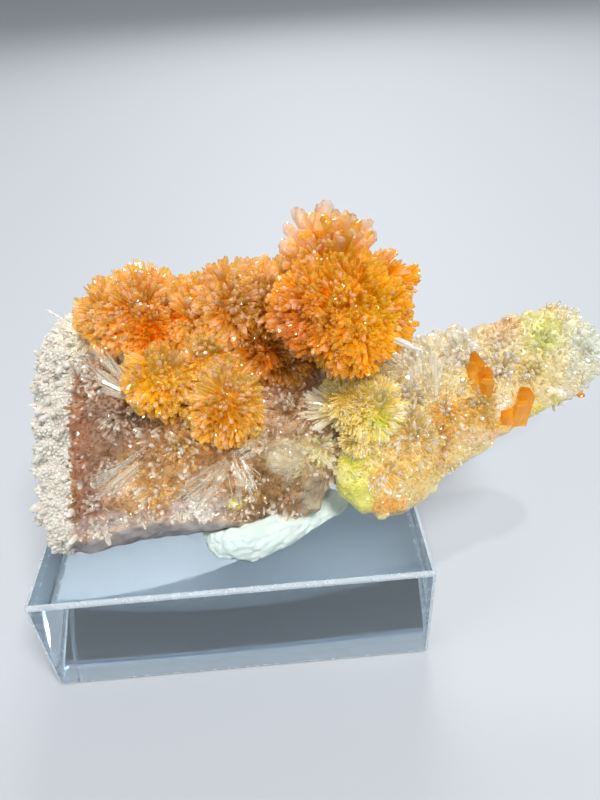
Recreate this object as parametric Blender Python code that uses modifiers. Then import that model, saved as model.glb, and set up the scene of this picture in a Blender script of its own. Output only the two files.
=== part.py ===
"""Creedite specimen on a clear display block.

Orange creedite sprays and a pale arm grow on a slab of brown host rock. A pad of
mineral tack holds the slab, leaning back, on a clear acrylic block. Sizes are in
millimetres here and are scaled to metres where a mesh is made. The block rests on
Z = 0 with its underside centred on the origin, and the crystal face looks towards -Y.
The specimen is modelled lying flat, in a frame of its own: X to the right, Y up the
crystal face, Z out of that face. An empty then leans its pieces back onto the block.
"""

import math
import random

import bmesh
import bpy
from mathutils import Matrix, Vector, noise
from mathutils.bvhtree import BVHTree

MM = 0.001

# The display block
BLOCK_SIDE = 38.0
BLOCK_HEIGHT = 12.5
BLOCK_CHAMFER = 0.35

# The specimen's own frame
LEAN_DEG = 54.0
FACE_FOOT = Vector((0.0, -14.0, 16.0))

GAP = 0.3

# The slab of host rock: its outline on the crystal face, its depth and its lumps. A
# lump is a ball (x, y, z, radius), and a cell is the size of one face of the surface
SLAB_OUTLINE = (
    (-15.2, -0.6), (-15.4, 4.0), (-15.0, 11.0), (-14.2, 17.0), (-13.0, 20.6), (-9.0, 21.8),
    (3.0, 21.2), (10.5, 20.0), (14.5, 15.5), (13.5, 8.0), (11.0, 3.0), (8.6, 0.4),
    (1.5, 0.2), (-6.5, 0.6),
)
SLAB_DEPTH = 10.5
SLAB_LUMPS = ((6.2, 7.0, -0.6, 2.7), (6.5, 12.0, -0.8, 3.0), (-3.5, 6.5, -1.2, 3.2))
SLAB_CELL = 2.1
SLAB_RELIEF = 0.6
RELIEF_SCALE = 4.5

# Left of FLANK_FROM the slab flares out behind its face, by up to FLANK_FLARE
FLANK_FROM = -8.0
FLANK_FLARE = 4.2
DRUSE_LENGTH = 1.2

# Behind half its depth the slab narrows towards this line and height
BACK_CENTRE = (2.0, 11.0)
BACK_NARROWING = (0.3, 0.2)

# The slab's foot: a broken edge that slopes back below the face, up to SLOPE_TO
FOOT_SLOPE = 2.4
SLOPE_TO = (4.0, 2.5)
FOOT_CLEARANCE = 0.9
FOOT_RISE = 0.17
FOOT_RISE_FROM = -3.0

# The smooth hollow at the right foot
HOLLOW_CENTRE = Vector((8.4, 2.0))
HOLLOW_RADIUS = 3.2
HOLLOW_DEPTH = 2.6

# The pale arm: its outline on the crystal face, its depth and the swellings on it
ARM_OUTLINE = (
    (11.2, -0.7), (16.2, -0.3), (19.8, 1.4), (21.2, 3.2), (25.4, 5.3), (29.6, 7.2),
    (33.0, 9.0), (36.0, 10.6), (37.0, 12.6), (36.0, 15.2), (34.4, 16.8), (32.6, 17.4),
    (29.6, 17.1), (26.4, 15.6), (24.0, 16.0), (21.8, 16.2), (19.4, 15.0), (15.6, 13.0),
    (11.4, 9.5), (9.8, 5.0), (10.4, 1.4),
)
ARM_LUMPS = (
    (12.4, 2.0, -0.2, 2.3), (16.6, 5.0, -1.2, 3.7), (22.6, 8.6, -1.6, 3.6),
    (20.6, 13.4, -1.2, 2.9), (32.6, 13.6, -1.8, 3.2),
)
ARM_BACK = -4.4
ARM_FRONT = 0.9
ARM_CELL = 1.8
ARM_RELIEF = 0.45
ARM_RELIEF_SCALE = 3.2
ARM_TIP = 37.0
ARM_THINNING = 0.45
ARM_BACK_SHIFT = 1.2
RIM_LENGTH = 1.0
RIM_TIP_FROM = 31.5

# The sprays: the balls that their crystals grow from, each (x, y, z, radius), the size
# of a crystal's foot, and the length of the crystals
BALL_CORES = ((12.1, 17.8, 5.0, 4.3), (11.3, 22.7, 3.2, 2.7))
RIDGE_CORES = (
    (-8.8, 19.4, 0.4, 2.4), (-5.9, 20.3, 0.9, 2.7), (-1.2, 19.8, 0.6, 2.6),
    (3.0, 19.8, 1.0, 2.6), (6.3, 20.2, 0.6, 2.3), (5.2, 16.2, 0.4, 2.2),
)
BALL_CELL = 1.48
RIDGE_CELL = 1.5
AMBER_CELL = 1.4
YELLOW_CELL = 1.35
BALL_LENGTH = 1.9
CROWN_EXTRA = 1.8
CROWN_FROM = 22.2
RIDGE_LENGTH = 2.1
RIDGE_EXTRA = 0.5
AMBER_LENGTH = 1.6
YELLOW_LENGTH = 1.5
AMBER_CORES = ((-4.8, 13.8, 1.5, 2.6), (1.0, 11.4, 1.9, 2.8), (0.2, 15.4, 1.2, 2.0))
YELLOW_CORES = ((13.6, 9.6, 2.1, 2.4),)

# Fans of clear blades: the ball at the root, the way they spread and their length
FANS = {
    "upper_blades": ((-8.8, 14.8, 0.9, 1.0), (-0.5, 0.8, 0.3), 3.9),
    "left_blades": ((-7.8, 6.8, 0.5, 1.1), (-0.82, -0.5, 0.35), 3.9),
    "lower_blades": ((0.9, 6.6, 1.2, 1.3), (-0.1, -0.9, 0.35), 3.6),
}
FAN_CELL = 0.72

# The two orange blades on the arm: foot, tip and width
BLADES = {
    "tall_orange_blade": ((25.1, 10.4, 0.4), (24.5, 14.3, 2.6), 1.7),
    "low_orange_blade": ((28.8, 11.0, 0.0), (27.2, 7.0, 2.0), 2.1),
}

# The pad of mineral tack, in the block's frame
TACK_LUMPS = (
    (-0.6, -13.0, 12.8, 2.6), (2.0, -13.4, 12.9, 3.1), (5.0, -12.6, 13.0, 3.1),
    (8.2, -10.6, 12.8, 3.2), (3.0, -8.0, 12.9, 3.6), (-1.5, -9.0, 12.6, 3.0),
    (4.0, -3.5, 13.0, 3.6), (10.6, -9.6, 12.4, 2.2),
)
TACK_CELL = 1.7
TACK_GAP = 0.15


def clear_scene():
    for old in list(bpy.data.objects):
        bpy.data.objects.remove(old)


def collection(name, hidden=False):
    made = bpy.data.collections.new(name)
    bpy.context.scene.collection.children.link(made)
    made.hide_render = hidden
    return made


def material(name, colour, roughness, transmission=0.0):
    made = bpy.data.materials.new(name)
    made.use_nodes = True
    shader = made.node_tree.nodes["Principled BSDF"]
    shader.inputs["Base Color"].default_value = (*colour, 1.0)
    shader.inputs["Roughness"].default_value = roughness
    shader.inputs["Transmission Weight"].default_value = transmission
    return made


def mesh_object(name, bm, home):
    """A new object from a bmesh in millimetres. It frees the bmesh."""
    bmesh.ops.scale(bm, vec=(MM, MM, MM), verts=bm.verts)
    mesh = bpy.data.meshes.new(name)
    bm.to_mesh(mesh)
    bm.free()
    made = bpy.data.objects.new(name, mesh)
    home.objects.link(made)
    return made


def as_cutter(obj):
    obj.hide_render = True
    obj.display_type = "WIRE"
    return obj


def evaluated_mesh(obj):
    """The object's mesh with its modifiers applied, in its own frame."""
    bpy.context.view_layer.update()
    graph = bpy.context.evaluated_depsgraph_get()
    return bpy.data.meshes.new_from_object(obj.evaluated_get(graph))


def bake_modifiers(obj):
    mesh = evaluated_mesh(obj)
    obj.modifiers.clear()
    obj.data = mesh


def bmesh_of(obj):
    """The object's mesh as a bmesh in millimetres."""
    bm = bmesh.new()
    bm.from_mesh(obj.data)
    bmesh.ops.scale(bm, vec=(1 / MM, 1 / MM, 1 / MM), verts=bm.verts)
    bm.normal_update()
    return bm


def store(obj, bm):
    bmesh.ops.scale(bm, vec=(MM, MM, MM), verts=bm.verts)
    bm.to_mesh(obj.data)
    bm.free()


def add_balls(bm, balls):
    for x, y, z, radius in balls:
        bmesh.ops.create_icosphere(
            bm, subdivisions=3, radius=radius, matrix=Matrix.Translation((x, y, z))
        )


def voxel_skin(obj, cell):
    """Turns overlapping closed shapes into one closed skin of quads about one cell wide."""
    remesh = obj.modifiers.new("Remesh", "REMESH")
    remesh.mode = "VOXEL"
    remesh.voxel_size = cell * MM
    bake_modifiers(obj)


def balls_core(name, balls, cell, home):
    """One closed skin round overlapping balls, each (x, y, z, radius)."""
    bm = bmesh.new()
    add_balls(bm, balls)
    core = mesh_object(name, bm, home)
    voxel_skin(core, cell)
    return core


def outline_core(name, outline, back, front, lumps, cell, home):
    """One closed skin round a flat outline that runs from back to front, and its lumps."""
    curve = bpy.data.curves.new(name + "_outline", "CURVE")
    curve.dimensions = "2D"
    curve.fill_mode = "BOTH"
    curve.extrude = (front - back) / 2 * MM
    spline = curve.splines.new("POLY")
    spline.points.add(len(outline) - 1)
    for point, (x, y) in zip(spline.points, outline):
        point.co = (x * MM, y * MM, 0.0, 1.0)
    spline.use_cyclic_u = True
    drawn = bpy.data.objects.new(name + "_outline", curve)
    home.objects.link(drawn)
    mesh = evaluated_mesh(drawn)
    bpy.data.objects.remove(drawn)
    bm = bmesh.new()
    bm.from_mesh(mesh)
    bmesh.ops.scale(bm, vec=(1 / MM, 1 / MM, 1 / MM), verts=bm.verts)
    bmesh.ops.remove_doubles(bm, verts=bm.verts, dist=0.001)
    bmesh.ops.translate(bm, vec=(0, 0, (front + back) / 2), verts=bm.verts)
    bmesh.ops.recalc_face_normals(bm, faces=bm.faces)
    add_balls(bm, lumps)
    core = mesh_object(name, bm, home)
    voxel_skin(core, cell)
    return core


def roughen(bm, height, scale, seed):
    """Moves each vertex along its normal by smooth noise, up to about the height given."""
    shift = Vector((seed * 7.3, seed * 3.1, seed * 5.7))
    for vert in bm.verts:
        vert.co += vert.normal * noise.noise(vert.co / scale + shift) * height * 2


def stays_clear(trees, starts, ends):
    """Whether the lines from starts to ends keep their distance from every tree."""
    for tree in trees:
        for start, end in zip(starts, ends):
            way = end - start
            if tree.ray_cast(start, way.normalized(), way.length + GAP)[0] is not None:
                return False
            for point in (end, start.lerp(end, 0.6)):
                if tree.find_nearest(point)[3] < GAP:
                    return False
    return True


def grow_crystals(bm, chosen, heading, length, shoulder, tip, seed, trees=()):
    """Grows one pointed prism from each chosen face.

    heading(centre, normal) and length(centre, normal) give a crystal's direction and
    length. The prism narrows to the share given as shoulder, and the last share of
    the length, given as tip, is the point. It shrinks to keep clear of the trees, and
    is left out where even a short one would touch them.
    """
    rng = random.Random(seed)
    skin = BVHTree.FromBMesh(bm)
    plans = {}
    for face in chosen:
        centre, normal = face.calc_center_median(), face.normal.copy()
        way = heading(centre, normal).normalized()
        reach = length(centre, normal) * rng.uniform(0.72, 1.12)
        keep = shoulder * rng.uniform(0.85, 1.1)
        blocked = skin.ray_cast(centre + way * 0.2, way, reach * 1.5)[3]
        if blocked is not None:
            reach = min(reach, blocked * 0.45)
        corners = [vert.co.copy() for vert in face.verts]
        least = 0.3 * math.sqrt(face.calc_area())
        while reach > least and way.dot(normal) > 0.3:
            body = way * reach * (1 - tip)
            ring = [centre + (corner - centre) * keep + body for corner in corners]
            point = centre + way * reach
            if stays_clear(trees, corners + [centre], ring + [point]):
                plans[face.index] = (ring, point)
                break
            reach *= 0.75
    faces = [face for face in chosen if face.index in plans]
    order = [plans[face.index] for face in faces]
    grown = bmesh.ops.extrude_discrete_faces(bm, faces=faces)["faces"]
    for face, (ring, _) in zip(grown, order):
        for vert, place in zip(face.verts, ring):
            vert.co = place
    for face, (_, point) in zip(grown, order):
        poked = bmesh.ops.poke(bm, faces=[face])
        poked["verts"][0].co = point
    bm.normal_update()


def radial(balls):
    """A heading away from the nearest ball's centre, leaning a little with the skin."""
    centres = [Vector(ball[:3]) for ball in balls]

    def heading(point, normal):
        nearest = min(centres, key=lambda c: (point - c).length)
        return (point - nearest).normalized() * 0.75 + normal * 0.25

    return heading


def cut_away(obj, cutter):
    cut = obj.modifiers.new("Cut", "BOOLEAN")
    cut.operation = "DIFFERENCE"
    cut.object = cutter
    bake_modifiers(obj)


def keep_largest(obj):
    """Drops crumbs that a cut has left loose."""
    bm = bmesh.new()
    bm.from_mesh(obj.data)
    left = set(bm.verts)
    islands = []
    while left:
        island, edge = set(), [left.pop()]
        while edge:
            vert = edge.pop()
            island.add(vert)
            for link in vert.link_edges:
                other = link.other_vert(vert)
                if other in left:
                    left.remove(other)
                    edge.append(other)
        islands.append(island)
    islands.sort(key=len, reverse=True)
    crumbs = [vert for island in islands[1:] for vert in island]
    bmesh.ops.delete(bm, geom=crumbs, context="VERTS")
    bm.to_mesh(obj.data)
    bm.free()


def swollen(obj, by, cell, home):
    """A cutter: the object's shape, larger all round, with no face through another."""
    bm = bmesh_of(obj)
    for vert in bm.verts:
        vert.co += vert.normal * by
    room = mesh_object(obj.name + "_clearance", bm, home)
    voxel_skin(room, cell)
    return as_cutter(room)


def tree_of(obj, place):
    bm = bmesh_of(obj)
    bm.transform(place)
    tree = BVHTree.FromBMesh(bm)
    bm.free()
    return tree


def ground(name, top, rise, place, home):
    """A cutter for all below the height given, which rises with X from FOOT_RISE_FROM."""
    bm = bmesh.new()
    bmesh.ops.create_cube(bm, size=120.0)
    bmesh.ops.translate(bm, vec=(0, 0, -60.0), verts=bm.verts)
    tilt = Matrix.Rotation(-math.atan(rise), 4, "Y")
    bm.transform(place @ Matrix.Translation((FOOT_RISE_FROM, 0, top)) @ tilt)
    return as_cutter(mesh_object(name, bm, home))


def display_block(home):
    bpy.ops.mesh.primitive_cube_add(size=1.0, location=(0, 0, BLOCK_HEIGHT / 2 * MM))
    block = bpy.context.object
    block.name = "display_block"
    block.scale = (BLOCK_SIDE * MM, BLOCK_SIDE * MM, BLOCK_HEIGHT * MM)
    bpy.ops.object.transform_apply(location=False, rotation=False, scale=True)
    bevel = block.modifiers.new("Chamfer", "BEVEL")
    bevel.width = BLOCK_CHAMFER * MM
    bevel.segments = 1
    for owner in list(block.users_collection):
        owner.objects.unlink(block)
    home.objects.link(block)
    return block


def rock_core(home):
    """The slab before its druse: flared at the left, hollowed at the right foot."""
    slab = outline_core(
        "host_rock", SLAB_OUTLINE, -SLAB_DEPTH, 0.2, SLAB_LUMPS, SLAB_CELL, home
    )
    bm = bmesh_of(slab)
    for vert in bm.verts:
        x, y, z = vert.co
        depth = max(0.0, -z / SLAB_DEPTH)
        if x < FLANK_FROM:
            flare = FLANK_FLARE * math.sin(min(1.0, depth * 1.6) * math.pi / 2)
            vert.co.x -= flare * min(1.0, (FLANK_FROM - x) / 5)
        behind = max(0.0, depth - 0.5) * 2
        vert.co.x += (BACK_CENTRE[0] - x) * BACK_NARROWING[0] * behind
        vert.co.y += (BACK_CENTRE[1] - y) * BACK_NARROWING[1] * behind
        if x < SLOPE_TO[0] and y < SLOPE_TO[1]:
            foot = min(1.0, max(0.0, 0.2 - z) / 1.4) * min(1.0, (SLOPE_TO[1] - y) / 2)
            vert.co.y -= FOOT_SLOPE * foot * min(1.0, (SLOPE_TO[0] - x) / 6)
        if z > -HOLLOW_RADIUS:
            away = (vert.co.xy - HOLLOW_CENTRE).length / HOLLOW_RADIUS
            vert.co.z -= HOLLOW_DEPTH * max(0.0, 1 - away * away)
    bm.normal_update()
    roughen(bm, SLAB_RELIEF, RELIEF_SCALE, 1)
    store(slab, bm)
    voxel_skin(slab, SLAB_CELL)
    return slab


def grow_druse(slab, trees):
    """The small blunt crystals on the slab's left flank."""
    bm = bmesh_of(slab)
    flank = [
        face
        for face in bm.faces
        if face.normal.x < -0.45
        and -9.0 < face.calc_center_median().z < 0.6
        and len(face.verts) == 4
    ]
    left = Vector((-0.5, 0, 0))
    grow_crystals(
        bm, flank, lambda c, n: n + left, lambda c, n: DRUSE_LENGTH, 0.7, 0.4, 11, trees
    )
    store(slab, bm)


def arm_core(home):
    arm = outline_core(
        "pale_arm", ARM_OUTLINE, ARM_BACK, ARM_FRONT, ARM_LUMPS, ARM_CELL, home
    )
    bm = bmesh_of(arm)
    first = ARM_OUTLINE[0][0]
    for vert in bm.verts:
        x, y, z = vert.co
        along = max(0.0, (x - first) / (ARM_TIP - first))
        if z < 0:
            vert.co.z *= 1.0 - ARM_THINNING * along
            vert.co.y += ARM_BACK_SHIFT * (z / ARM_BACK) * (1 - 0.5 * along)
    bm.normal_update()
    roughen(bm, ARM_RELIEF, ARM_RELIEF_SCALE, 5)
    store(arm, bm)
    voxel_skin(arm, ARM_CELL)
    return arm


def grow_rim(arm, trees):
    """The stubby crystals along the arm's upper edge and round its tip."""
    bm = bmesh_of(arm)
    rim = [
        face
        for face in bm.faces
        if (face.normal.y > 0.35 or face.calc_center_median().x > RIM_TIP_FROM)
        and face.normal.z > -0.3
        and face.normal.y > -0.5
        and len(face.verts) == 4
    ]
    lean_up = Vector((0.1, 0.3, 0.2))
    grow_crystals(
        bm, rim, lambda c, n: n + lean_up, lambda c, n: RIM_LENGTH, 0.72, 0.45, 12, trees
    )
    store(arm, bm)


def fan_growth(ball, way, length):
    """Heading and length for blades that fan out round one direction."""
    root, axis = Vector(ball[:3]), Vector(way).normalized()

    def heading(point, normal):
        return (point - root).normalized() + axis * 0.35

    def reach(point, normal):
        along = (point - root).normalized().dot(axis)
        return length * max(0.0, along - 0.1) / 0.9

    return heading, reach


def ball_reach(centre, normal):
    """Crystals of the ball: short all round and long in the crown at its top."""
    upward = min(1.0, max(0.0, (centre.y - CROWN_FROM) / BALL_CORES[1][3]))
    return BALL_LENGTH + CROWN_EXTRA * upward


def ridge_reach(centre, normal):
    return RIDGE_LENGTH + RIDGE_EXTRA * max(0.0, normal.y)


def grow_spray(obj, heading, reach, shoulder, tip, seed, trees):
    """Crystals on the whole cells of a spray's core that the rock doesn't hide."""
    bm = bmesh_of(obj)
    whole = [face.calc_area() for face in bm.faces if len(face.verts) == 4]
    usual = sorted(whole)[len(whole) // 2]
    chosen = [
        face
        for face in bm.faces
        if len(face.verts) == 4
        and face.calc_area() > 0.5 * usual
        and face.normal.z > -0.75
    ]
    grow_crystals(bm, chosen, heading, reach, shoulder, tip, seed, trees)
    store(obj, bm)


def blade(name, foot, tip, width, home):
    """One flat six-sided crystal that ends in a point."""
    way = Vector(tip) - Vector(foot)
    bm = bmesh.new()
    bmesh.ops.create_cone(
        bm, cap_ends=True, segments=6, radius1=0.42, radius2=0.5, depth=0.6
    )
    top = max(bm.faces, key=lambda face: face.calc_center_median().z)
    bmesh.ops.poke(bm, faces=[top], offset=0.4)
    bmesh.ops.translate(bm, vec=(0, 0, 0.3), verts=bm.verts)
    bmesh.ops.scale(bm, vec=(width, width * 0.55, way.length), verts=bm.verts)
    turn = way.to_track_quat("Z", "Y").to_matrix().to_4x4()
    bmesh.ops.transform(bm, matrix=Matrix.Translation(foot) @ turn, verts=bm.verts)
    return mesh_object(name, bm, home)


def mineral_tack(home, rooms):
    """The pad pressed between the block and the slab, flat below."""
    pad = balls_core("mineral_tack", TACK_LUMPS, TACK_CELL, home)
    for room in rooms:
        cut_away(pad, room)
    keep_largest(pad)
    return pad


def build():
    clear_scene()
    specimen = collection("creedite_specimen")
    cutters = collection("cutters", hidden=True)
    turn = Matrix.Rotation(math.radians(LEAN_DEG), 4, "X")
    flat = (Matrix.Translation(FACE_FOOT) @ turn).inverted()
    low = BLOCK_HEIGHT + FOOT_CLEARANCE
    level_floor = ground("level_floor", low, 0.0, flat, cutters)
    rising_floor = ground("rising_floor", low, FOOT_RISE, flat, cutters)
    tack_floor = ground("tack_floor", BLOCK_HEIGHT + TACK_GAP, 0.0, Matrix(), cutters)

    block = display_block(specimen)
    slab = rock_core(specimen)
    cut_away(slab, level_floor)
    cut_away(slab, rising_floor)
    keep_largest(slab)
    slab_room = swollen(slab, 1.8 * GAP, 1.5, cutters)
    foot_room = swollen(slab, 2.4 * GAP, 1.8, cutters)
    arm = arm_core(specimen)
    cut_away(arm, slab_room)
    cut_away(arm, level_floor)
    keep_largest(arm)
    arm_room = swollen(arm, 1.4 * GAP, 1.4, cutters)

    ball = balls_core("orange_ball", BALL_CORES, BALL_CELL, specimen)
    ridge = balls_core("orange_ridge", RIDGE_CORES, RIDGE_CELL, specimen)
    amber = balls_core("amber_spray", AMBER_CORES, AMBER_CELL, specimen)
    yellow = balls_core("yellow_spray", YELLOW_CORES, YELLOW_CELL, specimen)
    fans = {
        name: balls_core(name, (ball_at,), FAN_CELL, specimen)
        for name, (ball_at, _, _) in FANS.items()
    }
    blades = [blade(name, *shape, specimen) for name, shape in BLADES.items()]
    grown = [ball, ridge, amber, yellow, *fans.values(), *blades]
    for piece in grown:
        cut_away(piece, slab_room)
    for piece in (ball, yellow, *blades):
        cut_away(piece, arm_room)
    for piece in grown:
        keep_largest(piece)

    growths = [
        (ball, radial(BALL_CORES), ball_reach, 0.98, 0.36),
        (ridge, radial(RIDGE_CORES), ridge_reach, 0.98, 0.36),
        (amber, radial(AMBER_CORES), lambda c, n: AMBER_LENGTH, 0.95, 0.36),
        (yellow, radial(YELLOW_CORES), lambda c, n: YELLOW_LENGTH, 0.85, 0.4),
    ]
    for name, fan in fans.items():
        growths.append((fan, *fan_growth(*FANS[name]), 1.0, 0.2))
    solids = [slab, arm, *grown]
    block_tree = tree_of(block, flat)

    def others(piece):
        return [tree_of(solid, Matrix()) for solid in solids if solid is not piece]

    for number, (piece, heading, reach, shoulder, tip) in enumerate(growths):
        grow_spray(piece, heading, reach, shoulder, tip, 21 + number, others(piece))
    grow_druse(slab, [block_tree, *others(slab)])
    grow_rim(arm, [block_tree, *others(arm)])

    frame = bpy.data.objects.new("specimen_frame", None)
    frame.location = FACE_FOOT * MM
    frame.rotation_euler = (math.radians(LEAN_DEG), 0, 0)
    specimen.objects.link(frame)
    for piece in (slab, arm, *grown, foot_room, arm_room):
        piece.parent = frame
    pad = mineral_tack(specimen, (foot_room, arm_room, tack_floor))

    orange = material("orange_creedite", (0.95, 0.4, 0.05), 0.15)
    clear = material("clear_creedite", (0.95, 0.92, 0.85), 0.08)
    looks = {
        block: material("clear_acrylic", (0.9, 0.95, 1.0), 0.03, 1.0),
        pad: material("pale_mint_tack", (0.75, 0.9, 0.84), 0.6),
        slab: material("brown_host_rock", (0.45, 0.27, 0.17), 0.7),
        arm: material("pale_crust", (0.9, 0.85, 0.6), 0.25),
        ball: orange,
        ridge: orange,
        amber: material("amber_creedite", (0.93, 0.58, 0.16), 0.15),
        yellow: material("yellow_creedite", (0.9, 0.8, 0.3), 0.15),
    }
    looks.update({fan: clear for fan in fans.values()})
    looks.update({piece: orange for piece in blades})
    for piece, look in looks.items():
        piece.data.materials.clear()
        piece.data.materials.append(look)


build()
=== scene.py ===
"""The looks of the creedite specimen on its clear display block.

Places are given in millimetres in the specimen's own frame, as in the part's source:
X to the right, Y up the crystal face, Z out of that face. on_stage() leans them back
onto the block. The block and the mineral tack are given in the block's frame.
"""

import math

import bmesh
import bpy
import numpy as np
from mathutils import Matrix, Vector, noise
from mathutils.bvhtree import BVHTree


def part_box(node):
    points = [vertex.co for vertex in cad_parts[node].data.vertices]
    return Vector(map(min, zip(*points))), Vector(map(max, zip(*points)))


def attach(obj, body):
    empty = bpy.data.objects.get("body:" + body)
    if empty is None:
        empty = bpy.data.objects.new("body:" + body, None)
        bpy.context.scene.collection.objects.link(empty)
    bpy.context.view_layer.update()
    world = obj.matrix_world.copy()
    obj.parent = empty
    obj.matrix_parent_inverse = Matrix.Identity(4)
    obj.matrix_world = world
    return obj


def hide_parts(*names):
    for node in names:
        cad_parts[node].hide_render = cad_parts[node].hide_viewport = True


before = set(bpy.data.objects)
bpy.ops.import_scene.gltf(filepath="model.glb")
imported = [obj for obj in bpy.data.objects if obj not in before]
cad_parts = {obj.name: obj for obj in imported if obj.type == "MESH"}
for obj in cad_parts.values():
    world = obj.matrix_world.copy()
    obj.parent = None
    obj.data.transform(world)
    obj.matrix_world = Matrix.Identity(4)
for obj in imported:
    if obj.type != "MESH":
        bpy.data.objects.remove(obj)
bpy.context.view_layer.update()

MM = 0.001
LEAN = math.radians(54.0)
FACE_FOOT = np.array((0.0, -14.0, 16.0))
LEANING = np.array(Matrix.Rotation(LEAN, 3, "X"))
GOLDEN_TURN = math.pi * (3 - math.sqrt(5))
ANY_TURN = (0, 6.28)


def on_stage(points):
    """Specimen millimetres to world metres."""
    return (np.asarray(points) @ LEANING.T + FACE_FOOT) * MM


def on_specimen(points):
    """World metres to specimen millimetres."""
    return (np.asarray(points) / MM - FACE_FOOT) @ LEANING


def linear(red, green, blue):
    """A colour as seen on screen, from 0 to 255, as the linear values that shaders take."""
    shares = np.array((red, green, blue)) / 255.0
    return np.where(shares <= 0.04045, shares / 12.92, ((shares + 0.055) / 1.055) ** 2.4)


# Colours
DEEP_ORANGE = linear(236, 170, 12)
RED_ORANGE = linear(220, 140, 10)
ORANGE_TIP = linear(240, 204, 92)
GOLD = linear(244, 196, 30)
AMBER = linear(234, 186, 54)
PINK_TIP = linear(248, 222, 188)
TAN_TIP = linear(238, 210, 132)
PALE_YELLOW = linear(244, 234, 176)
LIME = linear(224, 228, 104)
CLEAR_WHITE = linear(244, 242, 234)
CREAM = linear(244, 238, 226)
PURPLE_BROWN = linear(164, 134, 118)
TAN = linear(208, 168, 106)
MAUVE_GREY = linear(172, 166, 166)
SUGAR_TAN = linear(234, 202, 138)
BONE = linear(218, 204, 158)
WHITE = linear(240, 240, 238)


# Tools for modelling

def start_fresh():
    """Object mode with nothing selected."""
    if bpy.context.object and bpy.context.object.mode != "OBJECT":
        bpy.ops.object.mode_set(mode="OBJECT")
    bpy.ops.object.select_all(action="DESELECT")


def choose(obj):
    """Object mode with this object alone selected."""
    start_fresh()
    bpy.context.view_layer.objects.active = obj
    obj.select_set(True)


def edit(obj):
    """Edit mode on this object alone."""
    choose(obj)
    bpy.ops.object.mode_set(mode="EDIT")


def pick_faces(test):
    """In edit mode, selects the faces that pass the test and no others."""
    bpy.ops.mesh.select_mode(type="FACE")
    bpy.ops.mesh.select_all(action="DESELECT")
    shape = bmesh.from_edit_mesh(bpy.context.edit_object.data)
    for face in shape.faces:
        face.select_set(test(face))
    bmesh.update_edit_mesh(bpy.context.edit_object.data)


def facing_up(face):
    return face.normal.z > 0.9


def facing_down(face):
    return face.normal.z < -0.9


def done_editing():
    bpy.ops.object.mode_set(mode="OBJECT")


def settle(obj):
    """Puts the object's place into its mesh."""
    choose(obj)
    bpy.ops.object.transform_apply(location=True, rotation=True, scale=True)


def modified(obj, kind, **settings):
    """Adds a modifier with these settings and applies it."""
    modifier = obj.modifiers.new(kind.title(), kind)
    for setting, value in settings.items():
        setattr(modifier, setting, value)
    choose(obj)
    bpy.ops.object.modifier_apply(modifier=modifier.name)


def reskin(obj, cell):
    """One closed skin of quads about one cell wide, in millimetres."""
    modified(obj, "REMESH", mode="VOXEL", voxel_size=cell * MM)


def relax(obj, rounds):
    """Smooths the skin, each round halfway to its neighbours."""
    modified(obj, "SMOOTH", factor=0.5, iterations=rounds)


def weather(obj, height, size):
    """Raises and sinks the skin by cloudy noise. Height and size are in millimetres."""
    clouds = bpy.data.textures.new(obj.name + "_relief", "CLOUDS")
    clouds.noise_scale = size * MM
    clouds.noise_depth = 2
    clouds.noise_basis = "ORIGINAL_PERLIN"
    modified(
        obj, "DISPLACE", texture=clouds, texture_coords="LOCAL", strength=height * MM, mid_level=0.5
    )


def copy_of_node(node, name):
    """A copy of a CAD node's mesh as a new object, with its loose triangles merged."""
    start_fresh()
    copy = bpy.data.objects.new(name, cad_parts[node].data.copy())
    bpy.context.scene.collection.objects.link(copy)
    copy.data.materials.clear()
    edit(copy)
    bpy.ops.mesh.select_all(action="SELECT")
    bpy.ops.mesh.remove_doubles(threshold=0.000002)
    done_editing()
    return copy


def vertex_rows(obj, field):
    """A place or normal for each vertex, as rows."""
    rows = np.empty(len(obj.data.vertices) * 3)
    obj.data.vertices.foreach_get(field, rows)
    return rows.reshape(-1, 3)


def points_of(obj):
    return vertex_rows(obj, "co")


def normals_of(obj):
    return vertex_rows(obj, "normal")


def place_points(obj, points):
    """Moves the object's vertices to new places."""
    obj.data.vertices.foreach_set("co", np.asarray(points, np.float32).ravel())
    obj.data.update()


def tree_of(obj):
    """A search tree of the object's faces, in specimen millimetres."""
    points = [Vector(p) for p in on_specimen(points_of(obj))]
    return BVHTree.FromPolygons(points, [tuple(face.vertices) for face in obj.data.polygons])


def depth_in(tree, points):
    """How far each point is outside the tree's skin, and less than nothing inside it."""
    out = np.empty(len(points))
    for index, point in enumerate(points):
        where, normal, _, away = tree.find_nearest(Vector(point))
        out[index] = math.copysign(away, (Vector(point) - where).dot(normal))
    return out


def smooth_noise(points, size, seed):
    """Smooth noise from about -1 to 1 at each point, with features of the size given."""
    shift = Vector((seed * 3.7, seed * 1.9, seed * 5.3))
    return np.array([noise.noise(Vector(p) / size + shift) for p in points])


def paint(obj, colours, heights=None):
    """Stores a colour for each vertex, with the height on a crystal as its alpha."""
    tint = obj.data.color_attributes.new("tint", "FLOAT_COLOR", "POINT")
    alpha = np.ones(len(colours)) if heights is None else heights
    tint.data.foreach_set("color", np.column_stack((colours, alpha)).astype(np.float32).ravel())


def blend(ground, other, share):
    """The ground's colours, mixed with another by each point's share."""
    return ground * (1 - share[:, None]) + other * share[:, None]


def ramp(values, start, width):
    """0 up to the start, 1 from a width past it, and straight between."""
    return np.clip((values - start) / width, 0, 1)


def bell(values, width):
    """1 at nothing, and less on both sides."""
    return np.exp(-((values / width) ** 2))


def above(edge, points):
    """How far each point is above an edge that is given as Y by X."""
    return points[:, 1] - np.interp(points[:, 0], *zip(*edge))


def right_of(edge, points):
    """How far each point is to the right of an edge that is given as X by Y."""
    return points[:, 0] - np.interp(points[:, 1], *zip(*edge))


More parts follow.
